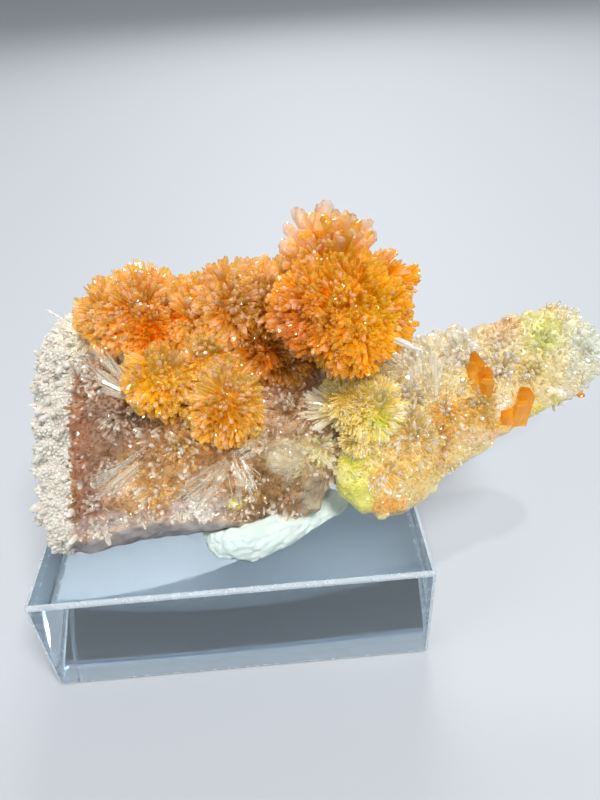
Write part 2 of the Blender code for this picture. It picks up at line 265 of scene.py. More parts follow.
def region_colours(points, ground, regions, seed):
    """Colours of points in patches over a ground colour.

    A patch is (x, y, half width, half height, colour, strength), with a ragged edge.
    """
    ragged = np.column_stack([smooth_noise(points, 1.6, seed + i) for i in (0, 1)]) * 1.1
    flat = np.asarray(points)[:, :2] + ragged
    colours = np.tile(np.asarray(ground, float), (len(points), 1))
    for x, y, wide, high, colour, strength in regions:
        away = ((flat[:, 0] - x) / wide) ** 2 + ((flat[:, 1] - y) / high) ** 2
        colours = blend(colours, colour, strength * np.exp(-(away ** 1.5)))
    return colours


# Crystal forms: each is one unit long along Z from its root and one unit wide

def prism_form(sides, root, shoulder, crest, edge, slant):
    """A prism with a narrower root that ends in a wedge.

    The root and crest are shares of its width, the edge is the wedge's thickness, and
    the shoulder is the height where the wedge begins.
    """
    start_fresh()
    bpy.ops.mesh.primitive_cylinder_add(
        vertices=sides, radius=0.5, depth=shoulder, location=(0, 0, shoulder / 2)
    )
    form = bpy.context.object
    edit(form)
    pick_faces(facing_down)
    bpy.ops.transform.resize(value=(root, root, 1), center_override=(0, 0, 0))
    pick_faces(facing_up)
    bpy.ops.mesh.extrude_region_move(TRANSFORM_OT_translate={"value": (slant, 0, 1 - shoulder)})
    bpy.ops.transform.resize(value=(crest, edge, 1), center_override=(slant, 0, 1))
    return taken(form)


def nub_form(sides):
    """A stubby crystal with a rounded end, in two steps above its straight half."""
    start_fresh()
    bpy.ops.mesh.primitive_cylinder_add(vertices=sides, radius=0.5, depth=0.5, location=(0, 0, 0.25))
    form = bpy.context.object
    edit(form)
    pick_faces(facing_up)
    for aside, top, height, wide, thick in ((0, 0.82, 0.32, 0.78, 0.78), (0.04, 1, 0.18, 0.35, 0.3)):
        bpy.ops.mesh.extrude_region_move(TRANSFORM_OT_translate={"value": (aside, 0, height)})
        bpy.ops.transform.resize(value=(wide, thick, 1), center_override=(aside, 0, top))
    return taken(form)


def taken(form):
    """The form's points and faces. The object itself isn't part of the specimen."""
    done_editing()
    settle(form)
    points = points_of(form)
    faces = [list(face.vertices) for face in form.data.polygons]
    bpy.data.objects.remove(form)
    return points, faces


FORMS = {
    "wedge": prism_form(6, 0.85, 0.87, 0.72, 0.22, 0.0),
    "slanted": prism_form(6, 0.85, 0.82, 0.6, 0.34, 0.16),
    "blunt": prism_form(5, 0.85, 0.88, 0.62, 0.56, 0.05),
    "spear": prism_form(6, 0.75, 0.84, 0.55, 0.4, 0.1),
    "lance": prism_form(6, 0.7, 0.66, 0.24, 0.24, 0.06),
    "needle": prism_form(4, 0.75, 0.88, 0.3, 0.3, 0.05),
    "grain": prism_form(4, 0.9, 0.6, 0.5, 0.2, 0.1),
    "nub": nub_form(7),
}
SPRAY_FORMS = ("wedge", "slanted", "blunt", "wedge")
SMALL_FORMS = ("grain", "wedge", "slanted")
BLADE_FORMS = ("wedge", "slanted", "blunt")


class Growth:
    """Crystals waiting to be made into one mesh, in specimen millimetres."""

    def __init__(self):
        self.rows = {}

    def add(self, form, *row):
        """The row is root, way, length, width, thickness, roll, root colour and tip colour."""
        self.rows.setdefault(form, []).append(row)

    def build(self, name, fade=1.0):
        """The one object that holds all the crystals. Fade is how soon the tip colour comes."""
        all_points, all_colours, all_heights = [], [], []
        loops, starts, count, loop_count = [], [], 0, 0
        for form, rows in self.rows.items():
            shape, faces = FORMS[form]
            root, way, length, width, thickness, roll, low, high = (
                np.array([row[i] for row in rows], float) for i in range(8)
            )
            way /= np.linalg.norm(way, axis=1)[:, None]
            helper = np.where(np.abs(way[:, 2:]) < 0.9, (0, 0, 1.0), (1.0, 0, 0))
            side = np.cross(helper, way)
            side /= np.linalg.norm(side, axis=1)[:, None]
            other = np.cross(way, side)
            turn = np.cos(roll)[:, None], np.sin(roll)[:, None]
            side, other = side * turn[0] + other * turn[1], other * turn[0] - side * turn[1]
            points = (
                root[:, None]
                + shape[None, :, 0:1] * (side * width[:, None])[:, None]
                + shape[None, :, 1:2] * (other * thickness[:, None])[:, None]
                + shape[None, :, 2:3] * (way * length[:, None])[:, None]
            )
            heights = np.tile(shape[:, 2], (len(rows), 1))
            share = (heights ** fade)[:, :, None]
            colours = low[:, None] * (1 - share) + high[:, None] * share
            all_points.append(points.reshape(-1, 3))
            all_colours.append(colours.reshape(-1, 3))
            all_heights.append(heights.ravel())
            one = np.concatenate(faces)
            first = np.cumsum([0] + [len(face) for face in faces[:-1]])
            number = np.arange(len(rows))[:, None]
            loops.append((count + number * len(shape) + one).ravel())
            starts.append((loop_count + number * len(one) + first).ravel())
            count += len(rows) * len(shape)
            loop_count += len(rows) * len(one)
        mesh = bpy.data.meshes.new(name)
        mesh.vertices.add(count)
        mesh.vertices.foreach_set(
            "co", on_stage(np.concatenate(all_points)).astype(np.float32).ravel()
        )
        mesh.loops.add(loop_count)
        mesh.loops.foreach_set("vertex_index", np.concatenate(loops).astype(np.int32))
        starts = np.concatenate(starts).astype(np.int32)
        mesh.polygons.add(len(starts))
        mesh.polygons.foreach_set("loop_start", starts)
        mesh.update(calc_edges=True)
        mesh.validate()
        mesh.shade_flat()
        obj = bpy.data.objects.new(name, mesh)
        bpy.context.scene.collection.objects.link(obj)
        paint(obj, np.concatenate(all_colours), np.concatenate(all_heights))
        return obj


def stud(growth, rng, forms, spot, way, sunk, length, wide, flatness, low, high):
    """A crystal on a skin, a little sunk in it. The length may be a range, flatness always is."""
    form = forms[rng.integers(len(forms))]
    if isinstance(length, tuple):
        length = rng.uniform(*length)
    thick = wide * rng.uniform(*flatness)
    growth.add(
        form, spot - unit(way) * sunk, way, length, wide, thick, rng.uniform(*ANY_TURN), low, high
    )


def sphere_directions(count):
    """Directions spread evenly over a sphere."""
    index = np.arange(count)
    height = 1 - 2 * (index + 0.5) / count
    ring = np.sqrt(1 - height ** 2)
    turn = index * GOLDEN_TURN
    return np.column_stack((ring * np.cos(turn), ring * np.sin(turn), height))


def unit(rows):
    """The same directions, one long."""
    return rows / np.linalg.norm(rows, axis=-1, keepdims=True)


# A crystal is left out where its tip is this far inside another tuft, or this near to rock
BURIED_SHARE = 0.88
ROCK_CLEARANCE = 0.15


def grow_spray(
    growth, tufts, rocks, forms, width, colours, glows, rng, bundle=1.1, wild=0.2, within=-1,
    visible=0.45,
):
    """Crystals that radiate from each tuft's centre and fill it.

    A tuft is (centre, reach, long reach, axis, spacing, width factor, share of pale
    tips): crystals near the axis reach further. Colours are (root, tip, pale tip) and
    glows are patches of strong colour, each (x, y, radius, root colour, tip colour).
    Within is the least cosine between a crystal and the tuft's axis, and visible is the
    share of the reach that a crystal takes up.
    """
    for number, (centre, reach, far, axis, spacing, wider, pale) in enumerate(tufts):
        centre, axis = np.array(centre, float), unit(np.array(axis, float))
        ways = sphere_directions(int(4 * math.pi * (reach / spacing) ** 2))
        ways = unit(ways + rng.normal(0, 0.3 * spacing / reach, ways.shape))
        hubs = unit(rng.normal(size=(int(4 * math.pi * (reach / bundle) ** 2), 3)))
        hub_tilt = np.clip(rng.normal(0, 1, hubs.shape), -1.3, 1.3)
        hub_reach = rng.normal(0, 1, len(hubs))
        mine = np.argmax(ways @ hubs.T, axis=1)
        along = np.clip(ways @ axis, 0, 1)
        long = reach + (far - reach) * along ** 1.5
        uneven = 0.07 * hub_reach[mine] + rng.normal(0, 0.035, len(ways))
        long = long * (1 + np.clip(uneven, -0.25, 0.12))
        own_tilt = np.clip(rng.normal(0, 0.32, ways.shape), -0.6, 0.6)
        heading = unit(ways + wild * (hub_tilt[mine] + own_tilt))
        tips = centre + unit(ways + 0.5 * (heading - ways)) * long[:, None]
        keep = ways @ axis >= within
        for other, (middle, size, *_rest) in enumerate(tufts):
            if other != number:
                keep &= np.linalg.norm(tips - np.array(middle), axis=1) > BURIED_SHARE * size
        for rock in rocks:
            keep &= depth_in(rock, tips) > ROCK_CLEARANCE
        for index in np.flatnonzero(keep):
            tip, way, size = tips[index], heading[index], long[index]
            low, high, palest = colours
            for x, y, radius, glow_low, glow_high in glows:
                share = math.exp(-(((tip[0] - x) ** 2 + (tip[1] - y) ** 2) / radius ** 2))
                low = low * (1 - share) + glow_low * share
                high = high * (1 - share) + glow_high * share
            if rng.random() < pale:
                high = palest
            shade = rng.uniform(0.86, 1.1)
            wide = width * wider * rng.uniform(0.7, 1.35)
            growth.add(
                forms[rng.integers(len(forms))],
                tip - way * size * visible,
                way,
                size * visible,
                wide,
                wide * rng.uniform(0.55, 0.95),
                rng.uniform(0, 2 * math.pi),
                low * shade,
                high * shade,
            )


def fill_gaps(growth, tufts, rocks, width, colours, glows, rng):
    """Shorter crystals that stand straight out below the others, so no gap shows the heart."""
    lower = [
        (centre, 0.86 * reach, 0.86 * far, axis, 1.1 * spacing, wider, 0.05)
        for centre, reach, far, axis, spacing, wider, _ in tufts
    ]
    grow_spray(growth, lower, rocks, ("grain",), width, colours, glows, rng, wild=0.1, visible=0.3)


def ball_core(name, balls, cell, relief=0.7):
    """The solid heart of a spray: balls added at their places and skinned as one."""
    start_fresh()
    made = []
    for x, y, z, radius in balls:
        place = on_stage([(x, y, z)])[0]
        bpy.ops.mesh.primitive_ico_sphere_add(subdivisions=3, radius=radius * MM, location=place)
        made.append(bpy.context.object)
    start_fresh()
    for ball in made:
        ball.select_set(True)
    bpy.context.view_layer.objects.active = made[0]
    bpy.ops.object.join()
    core = bpy.context.object
    core.name = name
    settle(core)
    reskin(core, cell)
    weather(core, relief, 0.9)
    return core


def scatter_spots(obj, count, apart, weight, rng):
    """Places on an object's skin, some way apart, as places and normals on the specimen.

    The weight function gives each triangle's share from its centre and normal.
    """
    mesh = obj.data
    mesh.calc_loop_triangles()
    corners = np.empty(len(mesh.loop_triangles) * 3, np.int32)
    mesh.loop_triangles.foreach_get("vertices", corners)
    tri = on_specimen(points_of(obj))[corners.reshape(-1, 3)]
    cross = np.cross(tri[:, 1] - tri[:, 0], tri[:, 2] - tri[:, 0])
    area = np.linalg.norm(cross, axis=1)
    normal = cross / np.maximum(area, 1e-12)[:, None]
    share = area * weight(tri.mean(axis=1), normal)
    chosen = rng.choice(len(tri), size=count, p=share / share.sum())
    a, b = rng.random((2, count))
    flip = a + b > 1
    a, b = np.where(flip, 1 - a, a), np.where(flip, 1 - b, b)
    t = tri[chosen]
    spots = t[:, 0] + a[:, None] * (t[:, 1] - t[:, 0]) + b[:, None] * (t[:, 2] - t[:, 0])
    taken_cells, kept = {}, []
    for index, spot in enumerate(spots):
        cell = tuple(np.floor(spot / apart).astype(int))
        near = (
            other
            for dx in (-1, 0, 1)
            for dy in (-1, 0, 1)
            for dz in (-1, 0, 1)
            for other in taken_cells.get((cell[0] + dx, cell[1] + dy, cell[2] + dz), ())
        )
        if all(np.sum((spot - other) ** 2) > apart ** 2 for other in near):
            taken_cells.setdefault(cell, []).append(spot)
            kept.append(index)
    return spots[kept], normal[chosen[kept]]


# Materials

CREEDITE_IOR = 1.47
ACRYLIC_IOR = 1.49


def new_material(name, **values):
    """A material, its tree and its shader, with these values on the shader's sockets."""
    made = bpy.data.materials.new(name)
    made.use_nodes = True
    shader = made.node_tree.nodes["Principled BSDF"]
    set_values(shader, **values)
    return made, made.node_tree, shader


def set_values(node, **values):
    """Constants on a node's own sockets, named with _ for each space."""
    for socket, value in values.items():
        node.inputs[socket.replace("_", " ")].default_value = value


def add_node(tree, kind, **values):
    node = tree.nodes.new("ShaderNode" + kind)
    set_values(node, **values)
    return node


def multiply(tree):
    node = add_node(tree, "Math")
    node.operation = "MULTIPLY"
    return node


def wire(tree, *joints):
    """Links nodes. A joint is a node, its output, the next node and that one's input."""
    for node, output, following, socket in joints:
        tree.links.new(node.outputs[output], following.inputs[socket])


def group_of(name, inputs, outputs):
    """A node group with named sockets: name, kind and, for an input, its default."""
    group = bpy.data.node_groups.new(name, "ShaderNodeTree")
    for label, kind, default in inputs:
        socket = group.interface.new_socket(label, in_out="INPUT", socket_type=kind)
        socket.default_value = default
    for label, kind in outputs:
        group.interface.new_socket(label, in_out="OUTPUT", socket_type=kind)
    return group, group.nodes.new("NodeGroupInput"), group.nodes.new("NodeGroupOutput")


def mottle_group():
    """Uneven colour and gloss: a colour varied by two sizes of noise, and a gloss value."""
    group, start, end = group_of(
        "mineral_mottle",
        [
            ("Color", "NodeSocketColor", (0.8, 0.8, 0.8, 1)),
            ("Dark", "NodeSocketColor", (0.5, 0.5, 0.5, 1)),
            ("Size", "NodeSocketFloat", 900.0),
            ("Amount", "NodeSocketFloat", 0.4),
            ("Smooth", "NodeSocketFloat", 0.1),
            ("Rough", "NodeSocketFloat", 0.4),
        ],
        [("Color", "NodeSocketColor"), ("Roughness", "NodeSocketFloat"), ("Height", "NodeSocketFloat")],
    )
    where = add_node(group, "TexCoord")
    coarse = add_node(group, "TexNoise", Detail=4)
    fine = add_node(group, "TexNoise")
    finer = multiply(group)
    finer.inputs[1].default_value = 3.3
    sharpen = add_node(group, "MapRange", From_Min=0.35, From_Max=0.68)
    share = multiply(group)
    darken = add_node(group, "Mix")
    darken.data_type = "RGBA"
    darken.blend_type = "MULTIPLY"
    gloss = add_node(group, "MapRange", From_Min=0.35, From_Max=0.65)
    wire(
        group,
        (where, "Object", coarse, "Vector"), (start, "Size", coarse, "Scale"),
        (start, "Size", finer, 0), (where, "Object", fine, "Vector"), (finer, 0, fine, "Scale"),
        (coarse, "Fac", sharpen, "Value"), (sharpen, "Result", share, 0), (start, "Amount", share, 1),
        (share, 0, darken, "Factor"), (start, "Color", darken, "A"), (start, "Dark", darken, "B"),
        (darken, "Result", end, "Color"), (fine, "Fac", gloss, "Value"),
        (start, "Smooth", gloss, "To Min"), (start, "Rough", gloss, "To Max"),
        (gloss, "Result", end, "Roughness"), (fine, "Fac", end, "Height"),
    )
    return group


MOTTLE = mottle_group()


def let_light_in(tree, shader, colour):
    """Lamps shine through the crystal and are tinted by it, so it casts a coloured shadow."""
    path = add_node(tree, "LightPath")
    through = add_node(tree, "BsdfTransparent", Color=(*colour, 1))
    mix = add_node(tree, "MixShader")
    wire(
        tree,
        (path, "Is Shadow Ray", mix, "Fac"), (shader, "BSDF", mix, 1), (through, "BSDF", mix, 2),
        (mix, "Shader", tree.nodes["Material Output"], "Surface"),
    )


def mottled(tree, shader, dark, mottle, bump):
    """Uneven colour and gloss on a shader. Mottle is the size, amount, smooth and rough."""
    size, amount, smooth, rough = mottle
    cloud = tree.nodes.new("ShaderNodeGroup")
    cloud.node_tree = MOTTLE
    set_values(cloud, Dark=(*dark, 1), Size=size, Amount=amount, Smooth=smooth, Rough=rough)
    wire(
        tree, (cloud, "Color", shader, "Base Color"), (cloud, "Roughness", shader, "Roughness"),
    )
    if bump:
        raised = add_node(tree, "Bump", Strength=bump, Distance=0.1 * MM)
        wire(tree, (cloud, "Height", raised, "Height"), (raised, "Normal", shader, "Normal"))
    return cloud


def painted_material(name, dark, mottle, bump=0.0, through=None, IOR=CREEDITE_IOR, **values):
    """A mineral that takes its colour from the painted tint, with uneven colour and gloss."""
    made, tree, shader = new_material(name, IOR=IOR, **values)
    tint = add_node(tree, "Attribute")
    tint.attribute_name = "tint"
    wire(tree, (tint, "Color", mottled(tree, shader, dark, mottle, bump), "Color"))
    if through:
        let_light_in(tree, shader, through)
    return made


ORANGE_CRYSTAL = painted_material(
    "orange_creedite_crystal", (0.95, 0.8, 0.6), (700.0, 0.5, 0.02, 0.14),
    through=(0.98, 0.86, 0.5), Transmission_Weight=0.62, Coat_Weight=0.12, Coat_Roughness=0.03,
)
CLEAR_CRYSTAL = painted_material(
    "clear_creedite_crystal", (0.95, 0.92, 0.85), (900.0, 0.3, 0.03, 0.15),
    through=(0.97, 0.96, 0.93), Transmission_Weight=0.78, Coat_Weight=0.5, Coat_Roughness=0.03,
)
WATER_CLEAR = painted_material(
    "water_clear_blade", (0.97, 0.95, 0.92), (900.0, 0.2, 0.02, 0.1), IOR=1.5,
    through=(0.98, 0.97, 0.95), Transmission_Weight=0.9, Coat_Weight=0.6, Coat_Roughness=0.02,
)
SUGAR_CRYSTAL = painted_material(
    "sugary_druse", (0.85, 0.78, 0.7), (1200.0, 0.5, 0.03, 0.2),
    through=(0.95, 0.91, 0.84), Transmission_Weight=0.5, Coat_Weight=0.5, Coat_Roughness=0.03,
)
SPRAY_HEART = painted_material("spray_heart", (0.9, 0.65, 0.45), (900.0, 0.5, 0.25, 0.5), 0.3)
ROCK = painted_material("host_rock_skin", (0.6, 0.48, 0.42), (800.0, 0.8, 0.35, 0.8), 0.6, IOR=1.5)
CRUST = painted_material("pale_crust_skin", (0.88, 0.78, 0.6), (900.0, 0.6, 0.12, 0.5), 0.5)
NUB = painted_material("cream_druse", (0.8, 0.73, 0.66), (1100.0, 0.6, 0.2, 0.55), 0.3)


def noisy_gloss(tree, shader, noise_values, range_values):
    """Roughness that varies by one noise over the piece."""
    where = add_node(tree, "TexCoord")
    marks = add_node(tree, "TexNoise", **noise_values)
    gloss = add_node(tree, "MapRange", **range_values)
    wire(
        tree, (where, "Object", marks, "Vector"), (marks, "Fac", gloss, "Value"),
        (gloss, "Result", shader, "Roughness"),
    )


def acrylic_material():
    """Clear cast acrylic with faint polishing marks, a little blue in its depth."""
    made, tree, shader = new_material(
        "clear_cast_acrylic", IOR=ACRYLIC_IOR, Transmission_Weight=0.95,
        Base_Color=(0.82, 0.93, 1.0, 1),
    )
    noisy_gloss(
        tree, shader, {"Scale": 260.0, "Detail": 5},
        {"From_Min": 0.45, "From_Max": 0.75, "To_Min": 0.0, "To_Max": 0.08},
    )
    depth = add_node(tree, "VolumeAbsorption", Color=(0.78, 0.9, 1.0, 1), Density=6.0)
    wire(tree, (depth, "Volume", tree.nodes["Material Output"], "Volume"))
    return made


def frosted_edge_material():
    """The block's finely sanded edges, which catch the light."""
    made, tree, shader = new_material(
        "frosted_acrylic_edge", IOR=ACRYLIC_IOR, Transmission_Weight=0.5,
        Base_Color=(0.86, 0.94, 1.0, 1),
    )
    noisy_gloss(tree, shader, {"Scale": 1400.0}, {"To_Min": 0.1, "To_Max": 0.4})
    return made


def tack_material():
    """Matt putty, pale mint, with dust and finger creases."""
    made, tree, shader = new_material("pale_mint_tack", Specular_IOR_Level=0.35)
    cloud = mottled(tree, shader, (0.86, 0.92, 0.91), (420.0, 0.7, 0.45, 0.75), 0.35)
    set_values(cloud, Color=(*linear(224, 236, 230), 1))
    return made


def finished(obj, material, slot, *nodes):
    """Gives a piece its material, its body and the CAD nodes that it stands for."""
    obj.data.materials.clear()
    obj.data.materials.append(material)
    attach(obj, "root")
    if nodes:
        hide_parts(*nodes)
    return obj


# The display block and its mineral tack

def display_block():
    """The block with fine sanded edges."""
    low, high = (Vector(corner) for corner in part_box("display_block"))
    start_fresh()
    bpy.ops.mesh.primitive_cube_add(size=1, location=(low + high) / 2)
    block = bpy.context.object
    block.name = "acrylic_block"
    block.scale = high - low
    settle(block)
    edit(block)
    bpy.ops.mesh.select_all(action="SELECT")
    bpy.ops.mesh.bevel(offset=0.4 * MM, segments=3, profile=0.5)
    done_editing()
    bpy.ops.object.shade_smooth_by_angle(angle=math.radians(20))
    finished(block, acrylic_material(), "clear_acrylic", "display_block")
    block.data.materials.append(frosted_edge_material())
    for face in block.data.polygons:
        if max(abs(share) for share in face.normal) < 0.99:
            face.material_index = 1


def mineral_tack():
    """The pressed pad of putty, creased, and flattened onto the block at its right end."""
    pad = copy_of_node("mineral_tack", "mineral_tack_pad")
    reskin(pad, 0.25)
    relax(pad, 8)
    points = points_of(pad)
    crease = smooth_noise(points / MM * (1.0, 1.0, 2.6), 1.5, 3)
    fold = -0.22 * bell(crease, 0.09) + 0.1 * smooth_noise(points / MM, 2.2, 4)
    points += normals_of(pad) * fold[:, None] * MM
    x, _, z = on_specimen(points).T
    under = ramp(x, 2.0, 5.0) * ramp(z, -7.0, 4.0)
    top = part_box("display_block")[1][2]
    back, flatter = 1.3 * MM, 0.42
    points[:, 1] += back * under
    points[:, 2] = top + (points[:, 2] - top) * (1 - flatter * under)
    place_points(pad, points)
    choose(pad)
    bpy.ops.object.shade_smooth()
    return finished(pad, tack_material(), "mint_tack", "mineral_tack")


# The slab of host rock

ROCK_REGIONS = (
    (-13.8, 9.5, 1.7, 7.0, linear(174, 124, 90), 0.95),
    (-13.4, 1.5, 1.3, 3.2, linear(150, 104, 78), 0.9),
    (-10.0, 11.5, 2.6, 3.6, linear(146, 116, 98), 0.9),
    (-11.4, 5.0, 2.2, 2.6, PURPLE_BROWN, 0.9),
    (-6.0, 4.2, 4.4, 2.8, TAN, 0.9),
    (-3.0, 8.6, 3.6, 2.6, linear(190, 144, 84), 0.9),
    (-4.6, 1.5, 1.6, 1.0, linear(184, 120, 78), 0.9),
    (-11.4, 1.0, 3.4, 1.1, linear(200, 194, 194), 0.9),
    (-6.6, 0.8, 2.4, 0.6, linear(206, 186, 178), 0.9),
    (-2.6, 1.7, 3.1, 1.5, linear(212, 210, 210), 0.9),
    (-12.6, 18.4, 2.6, 2.6, linear(210, 212, 212), 0.95),
    (5.0, 14.5, 4.0, 3.0, linear(176, 98, 30), 0.9),
    (6.8, 6.2, 3.4, 3.0, linear(198, 184, 138), 0.9),
    (6.0, 10.0, 3.0, 2.4, linear(196, 164, 130), 0.9),
    (3.2, 2.8, 2.2, 2.6, linear(150, 118, 66), 0.9),
    (0.6, 1.3, 0.7, 0.6, LIME, 0.8),
    (3.3, 8.6, 0.9, 0.7, LIME, 0.6),
)


# The face's edges on the specimen: the left one as X by Y, the foot as Y by X
LEFT_EDGE = (
    (-1.0, -15.3), (0.0, -14.6), (6.5, -14.5), (10.0, -14.3), (14.0, -13.6), (17.5, -12.9),
    (20.0, -11.2),
)
FOOT_EDGE = (
    (-15.3, -0.6), (-12.1, 0.0), (-9.2, 0.6), (-6.4, 0.8), (-2.6, 0.7), (-0.3, 0.3), (1.1, -0.3),
    (3.1, -0.8),
)


def on_face(points):
    """How surely a point lies on the slab's crystal face, from 0 to 1."""
    left = ramp(right_of(LEFT_EDGE, points), -0.25, 0.5)
    return left * ramp(above(FOOT_EDGE, points), -0.175, 0.35) * ramp(points[:, 2], -3.2, 2.0)


def on_flank(points, normals):
    """How surely a point lies on the slab's left side, from 0 to 1."""
    return ramp(-right_of(LEFT_EDGE, points), -0.25, 0.5) * ramp(normals[:, 2], -0.8, 0.5)


def hollow_depth(points):
    """From 1 at the middle of the smooth hollow at the slab's right foot to 0 at its edge."""
    away = np.hypot((points[:, 0] - 8.6) / 2.9, (points[:, 1] - 1.8) / 3.0)
    return np.clip(1.6 - 1.6 * away, 0, 1)


def rock_colours(points, normals, seed):
    """The face in patches, the cream flank, the smooth broken sides and back in mauve grey."""
    bands = smooth_noise(points * (0.4, 1.0, 1.6), 2.4, seed + 5)[:, None]
    face = region_colours(points, linear(172, 138, 104), ROCK_REGIONS, seed)
    colours = blend(MAUVE_GREY * (1 + 0.18 * bands), face, on_face(points))
    rim = bell(above(FOOT_EDGE, points), 0.28) * (points[:, 2] > -2.0)
    colours = blend(colours, linear(226, 204, 178), rim)
    colours = blend(colours, linear(190, 176, 148), hollow_depth(points))
    return blend(colours, CREAM * 0.8, on_flank(points, normals))


def host_rock():
    """The slab, with its foot's lip drawn down on the right, rough on its face and flank."""
    slab = copy_of_node("host_rock", "host_rock_slab")
    reskin(slab, 0.3)
    relax(slab, 5)
    points = on_specimen(points_of(slab))
    x, y, z = points.T
    lip, drop = bell(x - 8.8, 3.0) * ramp(-y, -4.5, 3.5) * ramp(z, -4.0, 2.0), 3.0
    points[:, 1] -= drop * lip
    place_points(slab, on_stage(points))
    flank = on_flank(points, normals_of(slab) @ LEANING)
    rough = 0.3 + 0.7 * on_face(points)
    relief = 0.55 * smooth_noise(points, 1.5, 2) + 0.3 * smooth_noise(points, 0.6, 3)
    grain = 0.1 * smooth_noise(points, 0.7, 4)
    lumps = 0.7 * flank * smooth_noise(points, 1.1, 5)
    shift = (relief * rough + grain + lumps)[:, None] * normals_of(slab)
    place_points(slab, points_of(slab) + shift * MM)
    colours = rock_colours(on_specimen(points_of(slab)), normals_of(slab) @ LEANING, 1)
    paint(slab, colours)
    return finished(slab, ROCK, "brown_rock", "host_rock")


def flank_druse(slab):
    """Cream rounded crystals all over the slab's left side, longer ones among them."""
    rng = np.random.default_rng(41)
    tries, apart, sunk, share_of_teeth = 18000, 0.27, 0.25, 0.05

    def weight(centre, normal):
        return on_flank(centre, normal) * (centre[:, 2] > -10.2)

    spots, normals = scatter_spots(slab, tries, apart, weight, rng)
    growth = Growth()
    for spot, normal, clump in zip(spots, normals, smooth_noise(spots, 1.0, 12)):
        way = normal + (-0.3, -0.05, 0.05) + rng.normal(0, 0.3, 3)
        tooth = rng.random() < share_of_teeth
        length = 0.1 + 0.15 * max(clump, 0) + rng.uniform(0, 0.15) + 0.6 * tooth
        wide = rng.uniform(0.32, 0.52) + 0.3 * tooth
        shade = rng.uniform(0.78, 0.98) * (1 + 0.1 * clump)
        stud(
            growth, rng, ("nub",), spot, way, sunk, length + sunk, wide, (0.8, 1.0),
            linear(222, 214, 200) * shade, linear(240, 237, 226) * shade,
        )
    return finished(growth.build("flank_druse", fade=0.8), NUB, "brown_rock")


# Low sprays half sunk in the slab's face: x, y, reach, root colour and tip colour
FACE_TUFTS = (
    (-6.6, 4.0, 2.6, TAN, SUGAR_TAN),
    (-3.4, 7.6, 2.6, linear(196, 154, 96), SUGAR_TAN),
    (-11.0, 5.4, 2.2, linear(178, 148, 126), linear(222, 202, 184)),
    (-9.2, 10.6, 2.6, linear(150, 118, 100), linear(212, 190, 172)),
    (-12.0, 2.6, 1.8, linear(170, 126, 98), linear(222, 206, 194)),
    (-12.6, 18.4, 2.4, linear(206, 208, 208), CLEAR_WHITE),
    (-12.2, 14.6, 2.4, linear(190, 160, 134), linear(232, 222, 210)),
    (9.2, 6.6, 2.0, linear(214, 208, 146), linear(234, 230, 190)),
    (6.6, 11.0, 3.0, linear(196, 150, 100), linear(228, 200, 168)),
    (3.2, 8.4, 2.4, linear(204, 176, 136), linear(236, 224, 200)),
    (2.9, 3.4, 2.0, linear(166, 132, 76), linear(214, 188, 136)),
    (-2.4, 1.8, 1.5, linear(214, 210, 208), WHITE),
    (-4.4, 1.6, 1.2, linear(226, 222, 218), WHITE),
    (-12.0, 0.7, 1.2, linear(214, 206, 202), WHITE),
)


def low_sprays(name, tree, tufts, width, seed, slot):
    """Sprays whose centres lie under the skin, so that only their upper part stands out."""
    rng = np.random.default_rng(seed)
    growth = Growth()
    in_front, sunk = 20.0, 0.55
    for x, y, reach, low, high in tufts:
        skin = tree.ray_cast(Vector((x, y, in_front)), Vector((0, 0, -1.0)))[0]
        centre = (x, y, skin.z - sunk * reach)
        grow_spray(
            growth, ((centre, reach, reach, (0, 0, 1), 1.15 * width, 1.0, 0.3),), (tree,),
            BLADE_FORMS, width, (low, high, CLEAR_WHITE), (), rng,
            bundle=1.2, wild=0.5, visible=0.5,
        )
    return finished(growth.build(name, fade=1.3), SUGAR_CRYSTAL, slot)


def face_druse(slab):
    """Small clear, tan and brown crystals that cover the slab's face, frosted at its foot."""
    rng = np.random.default_rng(42)
    tries, apart, sunk, share_of_big = 14000, 0.34, 0.2, 0.12

    def weight(centre, normal):
        return on_face(centre) ** 2 * (normal[:, 2] > -0.2) * (hollow_depth(centre) < 0.5)

    spots, normals = scatter_spots(slab, tries, apart, weight, rng)
    tints = region_colours(spots, linear(182, 146, 108), ROCK_REGIONS, 1)
    tints *= 0.84 + 0.4 * smooth_noise(spots, 0.8, 21)[:, None]
    frosted = 0.55 * bell(above(FOOT_EDGE, spots), 1.3)
    growth = Growth()
    for spot, normal, tint, frost in zip(spots, normals, tints, frosted):
        big = rng.random() < share_of_big
        white = rng.random() < (0.7 if big else 0.16 + frost)
        tip = CLEAR_WHITE if white else tint * 1.3
        tint = tint * (1 - frost) + CREAM * frost
        way = normal + rng.normal(0, 0.6, 3)
        length = rng.uniform(0.3, 0.8) + 0.7 * big
        wide = rng.uniform(0.2, 0.5) + 0.12 * big
        stud(
            growth, rng, SMALL_FORMS, spot, way, sunk, length, wide, (0.5, 1),
            np.clip(tint, 0.01, 0.9), np.clip(tip, 0.01, 0.9),
        )
    return finished(growth.build("face_druse"), SUGAR_CRYSTAL, "brown_rock")


# The pale arm

